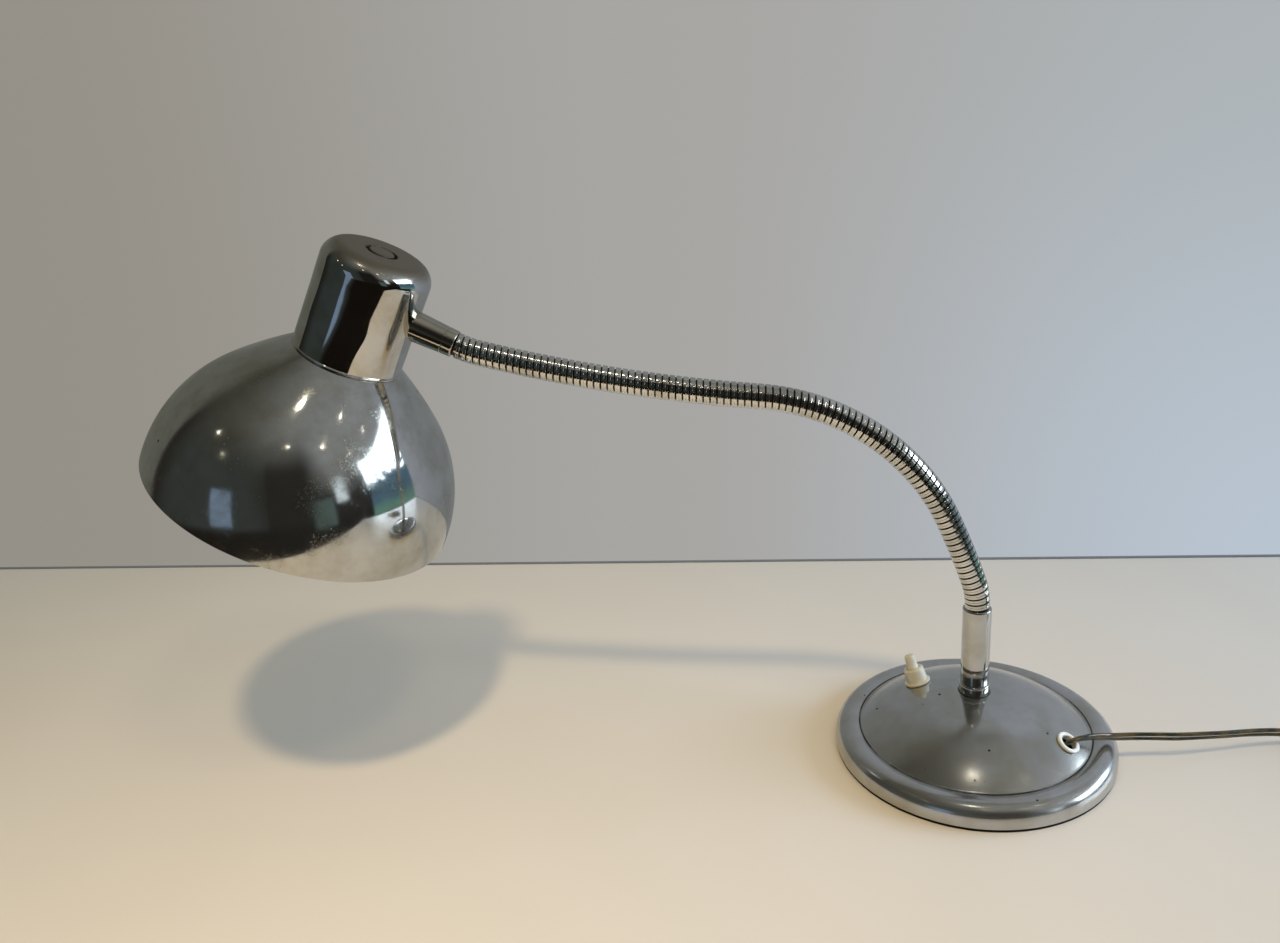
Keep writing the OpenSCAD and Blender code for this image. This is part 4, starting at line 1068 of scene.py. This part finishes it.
def room():
    """The room round the table: a pale wall behind the lamp, windows at the sides, dim behind the camera.

    The camera sees only the wall. Metal and glass mirror the whole room, and the rest gets its soft light.
    """
    world = bpy.data.worlds.new("room")
    world.use_nodes = True
    scene.world = world
    sky = world.node_tree
    sky.nodes.clear()
    direction = node(sky, "TexCoord", out="Generated")
    x, y, z = node(sky, "SeparateXYZ", {0: direction}).node.outputs
    turn = node(sky, "Math", {0: x, 1: y}, operation="ARCTAN2")
    azimuth = node(sky, "Math", {0: turn}, operation="DEGREES")
    rise = node(sky, "Math", {0: z}, operation="ARCSINE")
    elevation = node(sky, "Math", {0: rise}, operation="DEGREES")

    def pane(west, east, low, high, soft):
        """The edges of a pane of the room; its sides and their softness in degrees."""
        return [
            (azimuth, west - soft, west + soft),
            (azimuth, east + soft, east - soft),
            (elevation, low - soft, low + soft),
            (elevation, high + soft, high - soft),
        ]

    # what the camera sees: the wall, with more daylight on its right
    wall = lay_over(sky, "#959188", "#a8a6a3", [(x, -0.6, -0.1)])
    bright_side = lay_over(sky, "#b9c5d2", "#adb3b6", [(elevation, -26, 4)])
    wall = lay_over(sky, wall, bright_side, [(x, -0.1, 0.45)])
    # what metal and glass mirror: the wall, a dim room behind the camera, and the ceiling over both
    mirrored_wall = lay_over(sky, "#5e6057", "#9b9a97", [(x, -0.98, -0.15)])
    mirrored_wall = lay_over(sky, mirrored_wall, "#a8adb6", [(x, 0.0, 0.5)])
    ceiling = lay_over(sky, "#4f4e45", "#92938f", [(x, -0.5, 0.35)])
    dim = lay_over(sky, "#262321", "#3c4240", pane(-178, -95, -60, 60, 14))
    seen = lay_over(sky, dim, ceiling, [(elevation, 30, 66)])
    near_wall = lay_over(sky, mirrored_wall, ceiling, [(elevation, 24, 56)])
    seen = lay_over(sky, seen, near_wall, [(y, 0.06, 0.24)])
    # a dark floor under the table's height, except toward the wall
    seen = lay_over(sky, seen, "#1b1714", [(y, 0.1, 0.02), (elevation, -4, -9)])
    # the garden in the big window: trees over a lawn, and bright sky above them
    leaves = node(sky, "TexNoise", {"Vector": direction, "Scale": 9.0, "Detail": 4.0})
    treetops = node(sky, "Math", {0: leaves, 1: 26.0, 2: -9.5}, operation="MULTIPLY_ADD")
    over_trees = node(sky, "Math", {0: elevation, 1: treetops}, operation="SUBTRACT")
    garden = lay_over(sky, "#6f9a86", "#557488", [(elevation, -13, -3)])
    garden = lay_over(sky, garden, (7.0, 8.2, 9.2, 1), [(over_trees, 5, 9)])
    panes = (
        (pane(75, 140, 18, 58, 12), "#a0a2a3"),
        (pane(62, 68, -12, 36, 3), "#a9bdd6"),
        (pane(134, 149, -11, 9, 1.5), "#5b6d6a"),
        (pane(69, 106.5, -14, 24, 1.0), garden),
        (pane(123, 131.5, 4, 21, 0.8), (1.0, 1.15, 1.25, 1)),
        (pane(-155, -139, -4, 19, 1.0), "#8498b0"),
    )
    for edges, colour in panes:
        seen = lay_over(sky, seen, colour, edges)
    soft_light = lay_over(sky, "#948e7c", "#aaada2", [(x, -0.75, 0.85)])
    ray = node(sky, "LightPath").node.outputs
    both = {0: ray["Is Glossy Ray"], 1: ray["Is Transmission Ray"]}
    mirrored = node(sky, "Math", both, operation="MAXIMUM")
    light = lay_over(sky, soft_light, seen, [(mirrored, 0, 1)])
    light = lay_over(sky, light, wall, [(ray["Is Camera Ray"], 0, 1)])
    background = node(sky, "Background", {"Color": light})
    node(sky, "OutputWorld", {"Surface": background})


def hang_lamp(name, at, toward, size, power, colour, spread=180, mirrored=False):
    """Hangs an area lamp at one place, aimed at another, both in metres.

    A mirrored lamp shows in metal and lights nothing matt. The others light the table, and metal skips them.
    """
    lamp = bpy.data.lights.new(name, "AREA")
    lamp.shape = "DISK"
    lamp.size = size
    lamp.spread = radians(spread)
    lamp.energy = power
    lamp.color = colour
    hung = bpy.data.objects.new(name, lamp)
    aim = (Vector(at) - Vector(toward)).to_track_quat("Z", "Y").to_matrix().to_4x4()
    hung.matrix_world = Matrix.Translation(at) @ aim
    hung.visible_camera = False
    hung.visible_diffuse = not mirrored
    hung.visible_glossy = mirrored
    scene.collection.objects.link(hung)
    return lamp


def hang_lamps():
    """Round ceiling lamps 1.8 m above the table as the chrome mirrors them, and the light on the table."""
    ceiling = 1.8
    mirrored = (
        ((-0.07, -0.53), 0.1, 0.5), ((1.05, -0.51), 0.06, 0.1), ((2.15, -0.19), 0.05, 0.1),
        ((0.94, -1.03), 0.07, 0.17), ((2.07, -0.87), 0.05, 0.1), ((0.1, -1.26), 0.06, 0.1),
        ((-1.57, -0.71), 0.06, 0.12), ((-1.62, -1.44), 0.06, 0.12),
    )
    warm_white, warm, cool = (1.0, 0.9, 0.72), (1.0, 0.76, 0.45), (0.5, 0.69, 1.0)
    for k, ((x, y), size, power) in enumerate(mirrored):
        at = (x, y, ceiling)
        hang_lamp(f"ceiling_lamp_{k + 1}", at, (x, y, 0), size, power, warm_white, mirrored=True)
    # a narrow warm beam that casts the head's shadow, and a wide one over the whole table
    hang_lamp("ceiling_beam_1", (-0.2, -0.73, ceiling), (-0.34, -0.34, 0), 0.15, 1.5, warm, spread=50)
    hang_lamp("ceiling_beam_2", (0.48, -0.75, ceiling), (-0.3, 0.0, 0), 0.35, 0.7, warm, spread=90)
    # the window on the right
    daylight = hang_lamp("daylight", (1.9, 0.0, 0.75), (0, 0, 0.2), 1.4, 44, cool)
    daylight.shape = "RECTANGLE"
    daylight.size_y = 0.9


table_top()
hang_wall()
room()
hang_lamps()
